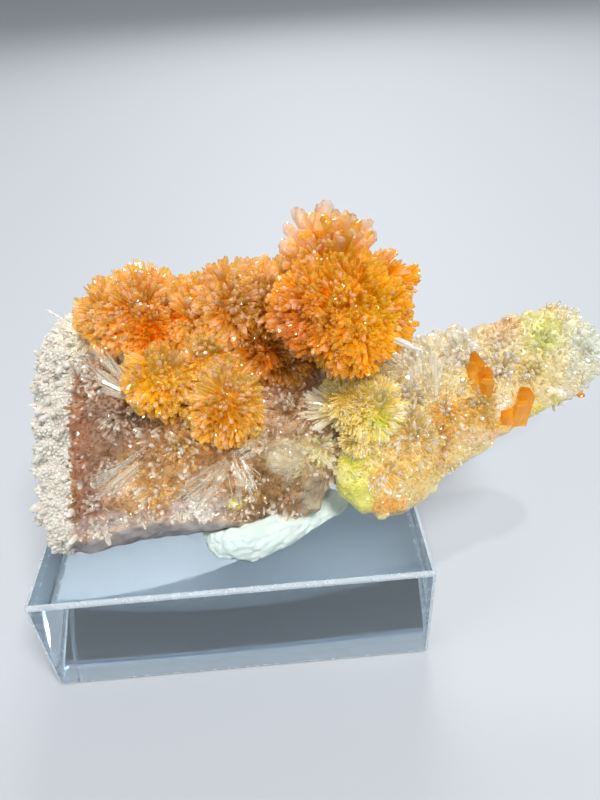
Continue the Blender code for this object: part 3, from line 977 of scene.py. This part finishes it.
ARM_REGIONS = (
    (20.5, 14.8, 3.4, 2.4, linear(222, 210, 184), 0.85),
    (27.6, 16.8, 2.6, 1.4, linear(214, 186, 146), 0.9),
    (27.4, 15.2, 1.6, 0.8, linear(186, 168, 144), 0.7),
    (31.0, 15.6, 2.0, 2.2, linear(208, 214, 142), 0.75),
    (35.2, 14.0, 2.6, 3.6, linear(226, 234, 224), 0.95),
    (31.0, 8.6, 2.4, 1.0, linear(218, 212, 120), 0.7),
    (18.4, 12.0, 1.4, 1.6, linear(204, 178, 110), 0.8),
    (17.4, 6.0, 4.4, 3.6, linear(224, 198, 128), 0.9),
    (23.6, 8.8, 3.4, 2.2, linear(214, 176, 84), 0.9),
    (21.4, 9.0, 1.0, 1.6, linear(226, 172, 66), 0.9),
    (20.8, 6.2, 0.6, 2.0, linear(176, 120, 62), 0.7),
    (12.0, 1.6, 1.8, 2.8, linear(220, 222, 116), 0.95),
    (15.0, 0.8, 1.6, 1.2, linear(228, 178, 96), 0.8),
    (12.8, 6.0, 1.7, 1.9, LIME, 0.85),
    (14.6, 8.8, 1.4, 1.2, LIME, 0.8),
    (26.4, 9.6, 0.9, 0.9, linear(240, 238, 234), 0.95),
    (32.2, 9.9, 1.3, 0.8, linear(232, 230, 224), 0.9),
    (24.6, 6.2, 2.6, 0.9, linear(222, 200, 168), 0.8),
)
# Low sprays half sunk in the arm's front: x, y, reach, root colour and tip colour
ARM_TUFTS = (
    (18.2, 13.6, 2.2, linear(226, 214, 184), WHITE),
    (23.2, 14.4, 2.0, linear(230, 224, 204), WHITE),
    (17.8, 10.4, 2.5, linear(214, 192, 136), linear(240, 232, 208)),
    (17.6, 6.6, 3.3, linear(222, 196, 120), linear(236, 218, 160)),
    (21.3, 8.6, 2.2, linear(230, 186, 78), linear(236, 210, 134)),
    (24.3, 9.0, 2.3, linear(216, 180, 84), linear(232, 208, 140)),
    (26.6, 12.8, 2.4, linear(204, 188, 150), CLEAR_WHITE),
    (31.0, 14.6, 2.0, linear(208, 214, 140), linear(226, 228, 180)),
    (29.6, 11.8, 2.2, linear(210, 190, 126), PALE_YELLOW),
    (34.6, 14.0, 2.3, linear(222, 232, 222), linear(236, 242, 240)),
    (33.6, 11.6, 1.8, linear(220, 222, 176), WHITE),
    (15.0, 3.8, 2.5, linear(230, 196, 104), linear(242, 222, 156)),
    (12.9, 6.4, 1.9, LIME, linear(238, 234, 150)),
)


# The arm's lower and upper rims on the specimen, as Y by X
LOWER_RIM = ((13.0, -0.6), (16.6, -1.0), (22.6, 3.3), (27.1, 6.0), (33.1, 9.2), (36.9, 11.5))
UPPER_RIM = ((22.5, 17.0), (24.4, 16.8), (27.4, 17.7), (30.3, 18.2), (33.6, 18.1), (35.4, 17.0))


def to_rims(points):
    """Moves the arm's edges onto the rims, by 1.2 mm at most, and what is near them with them."""
    moved = points.copy()
    most, fading, half_strip = 1.2, 5, 0.6
    across = np.arange(14.0, 36.5)
    front = points[points[:, 2] > -3.0]
    strips = [front[np.abs(front[:, 0] - x) < half_strip, 1] for x in across]
    for rim, edges in (
        (LOWER_RIM, [strip.min() for strip in strips]),
        (UPPER_RIM, [strip.max() for strip in strips]),
    ):
        gap = np.clip(np.interp(across, *zip(*rim)) - edges, -most, most)
        if rim is UPPER_RIM:
            gap = np.where((across > 24.0) & (across < 35.0), gap, 0)
        away = np.abs(points[:, 1] - np.interp(points[:, 0], across, edges))
        near = np.clip(1 - away / fading, 0, 1)
        moved[:, 1] += near * np.interp(points[:, 0], across, gap, left=0, right=0)
    return moved


def off_rims(points):
    """1 on the arm's rough middle and 0 on the smooth rims along its foot and upper edge."""
    smooth_top = (points[:, 0] > 24.8) & (points[:, 0] < 31.6)
    below_top = np.where(smooth_top, ramp(-above(UPPER_RIM, points), 0.6, 0.5), 1)
    return ramp(above(LOWER_RIM, points), 0.7, 0.5) * below_top


def pale_arm():
    """The arm's crust, with a painted yellow-white highlight along its lower rim where light catches
    the sharp edge.
    """
    arm = copy_of_node("pale_arm", "pale_arm_crust")
    reskin(arm, 0.28)
    relax(arm, 4)
    place_points(arm, on_stage(to_rims(on_specimen(points_of(arm)))))
    weather(arm, 0.6, 1.3)
    weather(arm, 0.2, 0.4)
    points = on_specimen(points_of(arm))
    # Painted highlight: a yellow-white strip just above the lower rim stands for the light that catches
    # the crust's sharp edge.
    painted_rim_highlight = 0.8 * bell(above(LOWER_RIM, points) - 0.2, 0.35) * (points[:, 2] > -2.0)
    paint(arm, blend(region_colours(points, BONE, ARM_REGIONS, 7), PALE_YELLOW, painted_rim_highlight))
    return finished(arm, CRUST, "pale_crust", "pale_arm")


def arm_front(centre, normal):
    """The arm's rough front and its tip, with little on the smooth knob."""
    x, y, _ = centre.T
    knob = (x < 13.5) & (y < 4.0)
    front = ramp(normal[:, 2], 0.4, 0.5) * np.where(knob, 0.1, 1) * off_rims(centre)
    return front + 0.7 * ramp(x, 32.0, 1.0)


def arm_top(centre, normal):
    """The arm's upper edge and shoulder up to its middle, and its tip."""
    x, y, z = centre.T
    rim = np.clip(normal[:, 1] * 1.5 - 0.2, 0, 1) * (z > -2.5)
    shoulder = (y > 11.0) * np.clip(normal[:, 2], 0, 1)
    tip = (x > 32.5) * (0.4 + np.clip(normal[:, 0], 0, 1)) * (z > -2.5)
    return (rim + shoulder) * (x < 24.5) + tip


def arm_druse(arm):
    """Sugary crystals on the arm's front and tip, stubby glassy ones along its upper edge."""
    rng = np.random.default_rng(43)
    for name, material, where, tries, apart, sunk, lean, spread, widths, lengths, flatness in (
        ("arm_druse", SUGAR_CRYSTAL, arm_front, 12000, 0.36, 0.2, (0, 0, 0), 0.5,
         (0.24, 0.52), (0.35, 0.9), (0.5, 1)),
        ("arm_rim_crystals", CLEAR_CRYSTAL, arm_top, 3000, 0.5, 0.4, (0.05, 0.25, 0.15), 0.25,
         (0.35, 0.8), (0.8, 1.4), (0.6, 0.95)),
    ):
        spots, normals = scatter_spots(arm, tries, apart, where, rng)
        growth = Growth()
        for spot, normal, tint in zip(spots, normals, region_colours(spots, BONE, ARM_REGIONS, 7)):
            way = normal + lean + rng.normal(0, spread, 3)
            wide = rng.uniform(*widths)
            forms, high = ("wedge", "blunt"), CLEAR_WHITE
            if where is arm_front:
                forms = SMALL_FORMS
                high = CLEAR_WHITE if rng.random() < 0.14 else np.minimum(tint * 1.1, 0.92)
            stud(growth, rng, forms, spot, way, sunk, lengths, wide, flatness, tint, high)
        finished(growth.build(name), material, "pale_crust")


# The sprays: the numbers of a tuft are explained at grow_spray

BALL_TUFTS = (
    ((11.8, 18.6, 4.8), 5.3, 5.4, (0, -1, 0.5), 0.39, 1.0, 0.1),
    ((14.1, 17.9, 4.8), 3.7, 4.0, (1, -0.3, 0.1), 0.39, 1.05, 0.2),
    ((9.6, 18.8, 4.4), 4.1, 4.3, (-1, 0.6, 0.3), 0.4, 1.05, 0.35),
    ((12.4, 16.9, 6.2), 3.9, 4.1, (0, -0.4, 1), 0.38, 0.95, 0.1),
    ((14.6, 20.2, 4.2), 2.9, 4.2, (0.9, 0.5, 0.1), 0.48, 1.2, 0.45),
    ((10.9, 22.2, 3.8), 3.7, 4.1, (0, 1, 0.4), 0.44, 1.1, 0.4),
)
CROWN_TUFTS = (((11.2, 22.0, 3.8), 4.2, 5.4, (0, 1, 0.3), 0.8, 1.0, 0.6),)
# Tips of the big clear crystals of the crown
CROWN_TIPS = (
    (7.4, 26.8, 4.2), (6.9, 25.1, 4.4), (8.5, 28.2, 4.0), (9.7, 27.2, 5.0), (11.2, 28.7, 3.8),
    (12.0, 27.5, 5.0), (12.9, 26.8, 5.4), (13.7, 27.1, 4.4), (14.8, 26.7, 4.0), (15.4, 25.6, 4.2),
    (10.4, 26.0, 6.4), (8.6, 25.4, 6.2), (13.2, 25.2, 6.4),
)
RIDGE_TUFTS = (
    ((-8.4, 20.0, 0.2), 3.8, 4.2, (-0.6, 1, 0.1), 0.44, 1.1, 0.4),
    ((-5.9, 20.2, 0.8), 3.7, 4.8, (-0.1, 1, 0.1), 0.43, 1.1, 0.4),
    ((-5.4, 18.6, 1.6), 2.9, 3.0, (0, -1, 0.5), 0.39, 0.9, 0.05),
    ((-1.3, 19.4, 0.4), 3.7, 4.6, (0.1, 1, 0.1), 0.43, 1.1, 0.45),
    ((1.8, 19.8, 0.9), 4.0, 4.7, (0.1, 1, 0.1), 0.46, 1.2, 0.45),
    ((5.0, 19.8, 0.2), 4.3, 4.9, (0, 1, 0.1), 0.46, 1.2, 0.45),
    ((7.6, 20.6, -0.2), 3.6, 4.0, (0, 1, 0), 0.44, 1.1, 0.3),
    ((4.6, 16.6, 0.4), 3.5, 3.6, (0, -0.5, 1), 0.39, 0.95, 0.1),
    ((6.6, 14.8, -0.4), 3.0, 3.0, (0, -1, 0.3), 0.39, 0.9, 0.1),
    ((-0.6, 17.4, 0.2), 3.0, 3.0, (0, -1, 0.3), 0.41, 1.0, 0.2),
)
AMBER_TUFTS = (
    ((-4.8, 13.9, 1.5), 3.7, 3.8, (0, 1, 0.2), 0.4, 1.05, 0.35),
    ((0.7, 11.3, 1.8), 3.8, 3.9, (0, 1, 0.2), 0.4, 1.05, 0.35),
    ((-0.6, 15.6, 1.1), 3.3, 3.4, (0, 1, 0.2), 0.41, 1.1, 0.4),
)
YELLOW_TUFTS = (
    ((13.9, 9.8, 1.9), 3.3, 3.5, (0, 1, 0), 0.34, 1.0, 0.3),
    ((12.2, 10.6, 1.6), 2.9, 3.0, (-1, 1, 0), 0.34, 1.0, 0.3),
    ((13.2, 7.8, 1.4), 2.4, 2.5, (0, -1, 0), 0.34, 1.0, 0.3),
)
# Tips of the pale blades that point left out of the yellow spray
YELLOW_LEFT_TIPS = (
    (7.6, 11.4, 2.2), (7.3, 10.3, 2.2), (7.6, 9.2, 2.0), (8.2, 8.1, 2.0), (8.8, 12.1, 2.4),
)


def dense_spray(seed, tufts, rocks, forms, widths, colours, glows, **habit):
    """A spray's crystals and shorter ones below them. More can be added before they are built."""
    rng = np.random.default_rng(seed)
    growth = Growth()
    grow_spray(growth, tufts, rocks, forms, widths[0], colours, glows, rng, **habit)
    fill_gaps(growth, tufts, rocks, widths[1], colours, glows, rng)
    return growth, rng


def build_spray(name, growth, material, fade, slot, tufts, share, colour, patches, seed):
    """The crystals, and the solid heart inside them: a ball at each tuft, a share of its reach. The
    heart is painted darker than the crystals, as painted shade in the gaps between them.
    """
    finished(growth.build(name + "_crystals", fade=fade), material, slot, name)
    core = ball_core(name + "_heart", [(*t[0], t[1] * share) for t in tufts], 0.35)
    # Painted shade: the heart's colour is darker than its crystals' roots, so the gaps between the
    # crystals look shaded.
    paint(core, region_colours(on_specimen(points_of(core)), colour, patches, seed))
    finished(core, SPRAY_HEART, slot)


def orange_ball(rocks):
    """The ball, golden on its right side, with its crown."""
    glows = (
        (7.4, 17.0, 3.0, RED_ORANGE, linear(226, 160, 84)),
        (15.0, 18.0, 4.8, linear(246, 208, 16), linear(246, 212, 64)),
    )
    growth, rng = dense_spray(
        51, BALL_TUFTS, rocks, SPRAY_FORMS, (0.43, 0.46), (DEEP_ORANGE, ORANGE_TIP, PINK_TIP),
        glows, bundle=1.4, wild=0.42, visible=0.34,
    )
    grow_spray(
        growth, CROWN_TUFTS, rocks, ("blunt", "spear"), 0.75, (AMBER, ORANGE_TIP, PINK_TIP), (), rng,
        wild=0.15, within=0.6, visible=0.5,
    )
    # The heart colour here is darker than the crystals' roots: painted shade in the gaps.
    build_spray(
        "orange_ball", growth, ORANGE_CRYSTAL, 1.6, "orange_crystal", BALL_TUFTS, 0.7,
        linear(220, 132, 6), ((15.0, 16.5, 5, 5, linear(232, 156, 10), 0.8),), 3,
    )
    crown_spears(rng)


def orange_ridge(rocks):
    """The row of sprays along the top, red-brown at its right end."""
    glows = (
        (-5.2, 18.4, 2.8, linear(240, 160, 2), linear(240, 172, 10)),
        (5.4, 15.8, 3.4, linear(190, 106, 4), linear(206, 132, 20)),
        (-1.0, 21.0, 2.5, GOLD, TAN_TIP),
        (5.2, 19.4, 3.2, linear(200, 142, 18), linear(208, 164, 60)),
    )
    red_side = (
        (5.2, 16.0, 4, 4, linear(160, 78, 4), 0.95),
        (-5.2, 18.4, 3, 3, linear(228, 128, 2), 0.95),
    )
    growth, _ = dense_spray(
        52, RIDGE_TUFTS, rocks, SPRAY_FORMS, (0.44, 0.48),
        (linear(236, 190, 60), linear(240, 216, 138), PINK_TIP), glows, bundle=1.3, wild=0.36,
    )
    # The heart colour here is darker than the crystals' roots: painted shade in the gaps.
    build_spray(
        "orange_ridge", growth, ORANGE_CRYSTAL, 1.5, "orange_crystal", RIDGE_TUFTS, 0.64,
        linear(216, 152, 30), red_side, 4,
    )


def amber_spray(rocks):
    """The paler sprays in the middle of the face, golden at their foot."""
    glows = (
        (-5.0, 12.8, 2.4, linear(248, 216, 30), linear(248, 218, 60)),
        (1.0, 10.0, 2.0, linear(220, 170, 4), linear(222, 174, 12)),
    )
    gold_spots = (
        (-5.0, 12.8, 1.8, 1.8, linear(232, 184, 10), 0.9),
        (1.2, 10.2, 1.6, 1.6, linear(224, 160, 6), 0.9),
    )
    growth, _ = dense_spray(
        53, AMBER_TUFTS, rocks, SPRAY_FORMS, (0.42, 0.44),
        (linear(236, 198, 62), linear(240, 218, 136), PINK_TIP), glows, bundle=1.3, wild=0.4,
    )
    # The heart colour here is darker than the crystals' roots: painted shade in the gaps.
    build_spray(
        "amber_spray", growth, ORANGE_CRYSTAL, 1.5, "amber_crystal", AMBER_TUFTS, 0.66,
        linear(204, 158, 60), gold_spots, 5,
    )


def yellow_spray(rocks):
    """The spray between slab and arm, pale blades to its left and two white needles above it."""
    growth, rng = dense_spray(
        54, YELLOW_TUFTS, rocks, ("needle", "blunt"), (0.26, 0.3),
        (linear(248, 230, 124), linear(250, 238, 176), CLEAR_WHITE), ((14.6, 8.6, 1.4, LIME, LIME),),
        wild=0.4,
    )
    blades_to_a_tip = 6
    for tip in YELLOW_LEFT_TIPS:
        for _ in range(blades_to_a_tip):
            foot = np.array((11.8, 10.1, 1.8)) + rng.normal(0, 0.35, 3)
            way = np.array(tip) - foot + rng.normal(0, 0.3, 3)
            growth.add(
                "wedge", foot, way, np.linalg.norm(way) * rng.uniform(0.8, 1.0), 0.36, 0.24,
                rng.uniform(*ANY_TURN), linear(232, 216, 150), CLEAR_WHITE,
            )
    growth.add("needle", (14.3, 16.5, 7.6), (2.5, -1.6, 1.0), 3.3, 0.5, 0.4, 0.4, WHITE, WHITE)
    growth.add("needle", (15.3, 15.6, 6.8), (2.9, -1.2, 0.9), 3.0, 0.32, 0.26, 0.4, WHITE, WHITE)
    # The heart colour here is darker than the crystals' roots: painted shade in the gaps.
    build_spray(
        "yellow_spray", growth, SUGAR_CRYSTAL, 1.5, "yellow_crystal", YELLOW_TUFTS, 0.64,
        linear(226, 202, 116), (), 6,
    )


# The crown's spears towards each tip: how far aside, share of the length, and width
SPEARS = ((0, 1.0, 1.55), (0.5, 0.92, 1.15), (0.6, 0.84, 0.9), (0.7, 0.78, 0.7))


def crown_spears(rng):
    """The big pale crystals on the ball's crown, each with three smaller ones beside it."""
    growth = Growth()
    middle, hidden = (11.2, 21.6, 3.6), 0.45
    for tip in CROWN_TIPS:
        for aside, share, wide in SPEARS:
            top = np.array(tip) + rng.normal(0, 1, 3) * aside
            foot = np.array(middle) + rng.normal(0, 0.3, 3)
            way = top - foot
            reach = np.linalg.norm(way) * share
            growth.add(
                "spear", foot + way / np.linalg.norm(way) * hidden * reach, way, (1 - hidden) * reach,
                wide * rng.uniform(0.85, 1.1), wide * rng.uniform(0.6, 0.85),
                rng.uniform(*ANY_TURN), linear(234, 166, 52), linear(248, 236, 224),
            )
    finished(growth.build("crown_spears", fade=1.7), CLEAR_CRYSTAL, "clear_crystal")


# Rounded glassy lumps, each as a centre and a radius: the dome, then two on the arm's edge
LUMPS = ((5.9, 6.1, 0.1, 2.2), (20.5, 15.6, 0.6, 1.0), (22.8, 16.3, 0.5, 0.9))


def glassy_lumps():
    """The lumps, smooth and almost colourless."""
    lumps = ball_core("glassy_lumps", LUMPS, 0.2, 0.25)
    paint(lumps, np.tile(linear(238, 234, 218), (len(lumps.data.vertices), 1)))
    choose(lumps)
    bpy.ops.object.shade_smooth()
    return finished(lumps, CLEAR_CRYSTAL, "clear_crystal")


# Fans of clear blades, each as a root and the tips that its blades reach for
FANS = {
    "upper_blades": ((-6.9, 12.4, 1.0), (
        (-11.4, 17.4, 2.0), (-10.6, 18.2, 2.2), (-9.6, 18.0, 2.4), (-11.5, 15.8, 1.8),
        (-10.6, 14.6, 1.8),
    )),
    "left_blades": ((-6.8, 7.4, 0.2), (
        (-11.8, 4.1, 1.4), (-12.1, 5.0, 1.2), (-11.2, 3.2, 1.4),
    )),
    "lower_blades": ((0.9, 6.4, 1.0), (
        (-4.4, 3.0, 1.6), (-3.4, 3.9, 1.8), (-2.6, 1.8, 1.6), (1.4, 2.2, 2.0),
        (2.5, 2.7, 2.0), (3.6, 3.6, 1.8), (3.9, 7.4, 2.0),
    )),
}
# Pale crystals at the slab's upper left corner, in the same way
CORNER = ((-11.4, 18.8, -0.4), (
    (-15.2, 20.9, 0.6), (-14.0, 19.7, 0.5), (-13.7, 18.6, 0.3), (-13.3, 17.4, 0.6),
    (-12.8, 21.0, 0.2), (-12.6, 18.4, 1.2), (-12.2, 16.8, 1.2),
))
# Upright clear blades on the arm's shoulder, in the same way
ARM_BLADES = ((20.4, 9.2, 0.8), (
    (18.4, 14.2, 1.2), (19.4, 15.6, 1.4), (20.4, 14.6, 1.5), (21.4, 15.2, 1.3),
))


def fan(name, root, tips, seed, material, *nodes):
    """Long clear blades, a bundle towards each tip, some of them broken short."""
    rng = np.random.default_rng(seed)
    growth = Growth()
    bundle, flatness = 5, 0.4
    for tip in tips:
        for _ in range(bundle):
            aside = rng.normal(0, (0.45, 0.45, 0.3))
            foot = np.array(root) + aside
            way = np.array(tip) + 0.7 * aside + rng.normal(0, 0.3, 3) - foot
            start = rng.uniform(0, 0.35)
            wide = rng.uniform(0.26, 0.56)
            growth.add(
                BLADE_FORMS[rng.integers(len(BLADE_FORMS))], foot + way * start, way,
                np.linalg.norm(way) * (rng.uniform(0.75, 1.0) - start), wide, wide * flatness,
                rng.uniform(*ANY_TURN), linear(244, 236, 220), CLEAR_WHITE,
            )
    return finished(growth.build(name + "_crystals"), material, "clear_crystal", *nodes)


# Each orange blade is several pieces: form, foot, tip, width and whether it is the darker colour
BLADES = {
    "tall_orange_blade": (
        ("lance", (24.7, 10.0, 0.3), (23.9, 14.3, 2.6), 2.1, 1),
        ("slanted", (25.2, 9.9, 0.3), (24.9, 12.9, 2.2), 1.6, 1),
        ("wedge", (25.0, 9.8, 0.5), (24.9, 11.7, 2.6), 1.5, 0),
    ),
    "low_orange_blade": (
        ("slanted", (28.2, 7.2, 0.3), (28.8, 10.6, 1.9), 1.8, 1),
        ("wedge", (28.4, 8.4, 0.3), (26.2, 7.9, 1.6), 1.7, 1),
        ("wedge", (27.9, 7.2, 0.4), (28.1, 9.4, 2.2), 1.5, 0),
        ("wedge", (34.4, 9.9, -0.4), (34.4, 9.3, 0.6), 0.75, 1),
    ),
}


def orange_blades():
    """Flat orange crystals on the arm, paler at their roots."""
    for number, (name, pieces) in enumerate(BLADES.items()):
        rng = np.random.default_rng(80 + number)
        growth = Growth()
        for form, foot, tip, width, dark in pieces:
            way = np.subtract(tip, foot)
            growth.add(
                form, foot, way, np.linalg.norm(way), width,
                width * 0.5, rng.uniform(-0.3, 0.3), linear(244, 200, 50),
                linear(228, 152, 30) if dark else linear(242, 190, 66),
            )
        made = growth.build(name + "_crystals", fade=1.2)
        finished(made, ORANGE_CRYSTAL, "orange_crystal", name)


# Camera, floor and light

def camera():
    """A camera as the specimen was seen: 36 degrees down, a little rolled and turned."""
    focal_pixels, photo_height, sensor = 646.0, 800, 36
    pitch, roll, yaw = math.radians(36.0), math.radians(3.55), math.radians(-1.8)
    place = Vector((6.13, -56.9, 61.0)) * MM
    right = Vector((math.cos(yaw), math.sin(yaw), 0))
    ahead = Vector((-math.sin(yaw), math.cos(yaw), 0))
    look = ahead * math.cos(pitch) - Vector((0, 0, 1)) * math.sin(pitch)
    over = ahead * math.sin(pitch) + Vector((0, 0, 1)) * math.cos(pitch)
    across = right * math.cos(roll) - over * math.sin(roll)
    upward = right * math.sin(roll) + over * math.cos(roll)
    lens = bpy.data.cameras.new("photo_camera")
    lens.sensor_width = sensor
    lens.lens = focal_pixels / photo_height * sensor
    lens.clip_start = 0.001
    made = bpy.data.objects.new("photo_camera", lens)
    bpy.context.scene.collection.objects.link(made)
    turn = Matrix((across, upward, -look)).transposed().to_4x4()
    made.matrix_world = Matrix.Translation(place) @ turn
    bpy.context.scene.camera = made


def floor():
    """A pale round floor that sweeps up into a wall."""
    wide, high, sweep = 3.0, 1.0, 0.8
    start_fresh()
    bpy.ops.mesh.primitive_cylinder_add(
        vertices=96, radius=wide, depth=high, location=(0, 0, high / 2 - 0.1 * MM)
    )
    ground = bpy.context.object
    ground.name = "studio_floor"
    settle(ground)
    edit(ground)
    pick_faces(facing_up)
    bpy.ops.mesh.delete(type="ONLY_FACE")
    pick_faces(facing_down)
    bpy.ops.mesh.bevel(offset=sweep, segments=8, profile=0.5)
    bpy.ops.mesh.select_all(action="SELECT")
    bpy.ops.mesh.flip_normals()
    done_editing()
    bpy.ops.object.shade_smooth()
    made, *_ = new_material("pale_floor", Base_Color=(0.5, 0.52, 0.55, 1), Roughness=0.6)
    ground.data.materials.append(made)


def soft_light(name, place, size, power):
    """A white round lamp that looks at the middle of the specimen."""
    light = bpy.data.lights.new(name, "AREA")
    light.shape = "DISK"
    light.size = size
    light.energy = power
    made = bpy.data.objects.new(name, light)
    bpy.context.scene.collection.objects.link(made)
    made.location = place
    aim = Vector((0.003, -0.005, 0.025)) - Vector(place)
    made.rotation_euler = aim.to_track_quat("-Z", "Y").to_euler()


def studio():
    """A dim sky, three soft lights, and two small ones that glint on the crystals."""
    world = bpy.data.worlds.new("studio")
    bpy.context.scene.world = world
    world.use_nodes = True
    set_values(world.node_tree.nodes["Background"], Color=(0.88, 0.93, 1.0, 1), Strength=0.42)
    for name, place, size, power in (
        ("key_light", (0.16, -0.24, 0.5), 0.16, 2.0),
        ("fill_light", (-0.42, -0.2, 0.26), 0.3, 0.5),
        ("back_light", (0.05, 0.4, 0.34), 0.25, 1.2),
        ("left_glint", (-0.1, -0.4, 0.42), 0.02, 0.48),
        ("high_glint", (0.06, -0.12, 0.6), 0.02, 0.48),
    ):
        soft_light(name, place, size, power)
    bpy.context.scene.view_settings.view_transform = "Standard"


camera()
floor()
studio()
display_block()
mineral_tack()
slab = host_rock()
arm = pale_arm()
rock_tree = tree_of(slab)
arm_tree = tree_of(arm)
flank_druse(slab)
low_sprays("face_sprays", rock_tree, FACE_TUFTS, 0.38, 44, "brown_rock")
face_druse(slab)
low_sprays("arm_sprays", arm_tree, ARM_TUFTS, 0.4, 45, "pale_crust")
arm_druse(arm)
for spray in (orange_ball, orange_ridge, amber_spray, yellow_spray):
    spray((rock_tree, arm_tree))
for number, (fan_name, shape) in enumerate(FANS.items()):
    fan(fan_name, *shape, 60 + number, WATER_CLEAR, fan_name)
fan("corner", *CORNER, 65, CLEAR_CRYSTAL)
fan("arm_upper", *ARM_BLADES, 66, CLEAR_CRYSTAL)
glassy_lumps()
orange_blades()
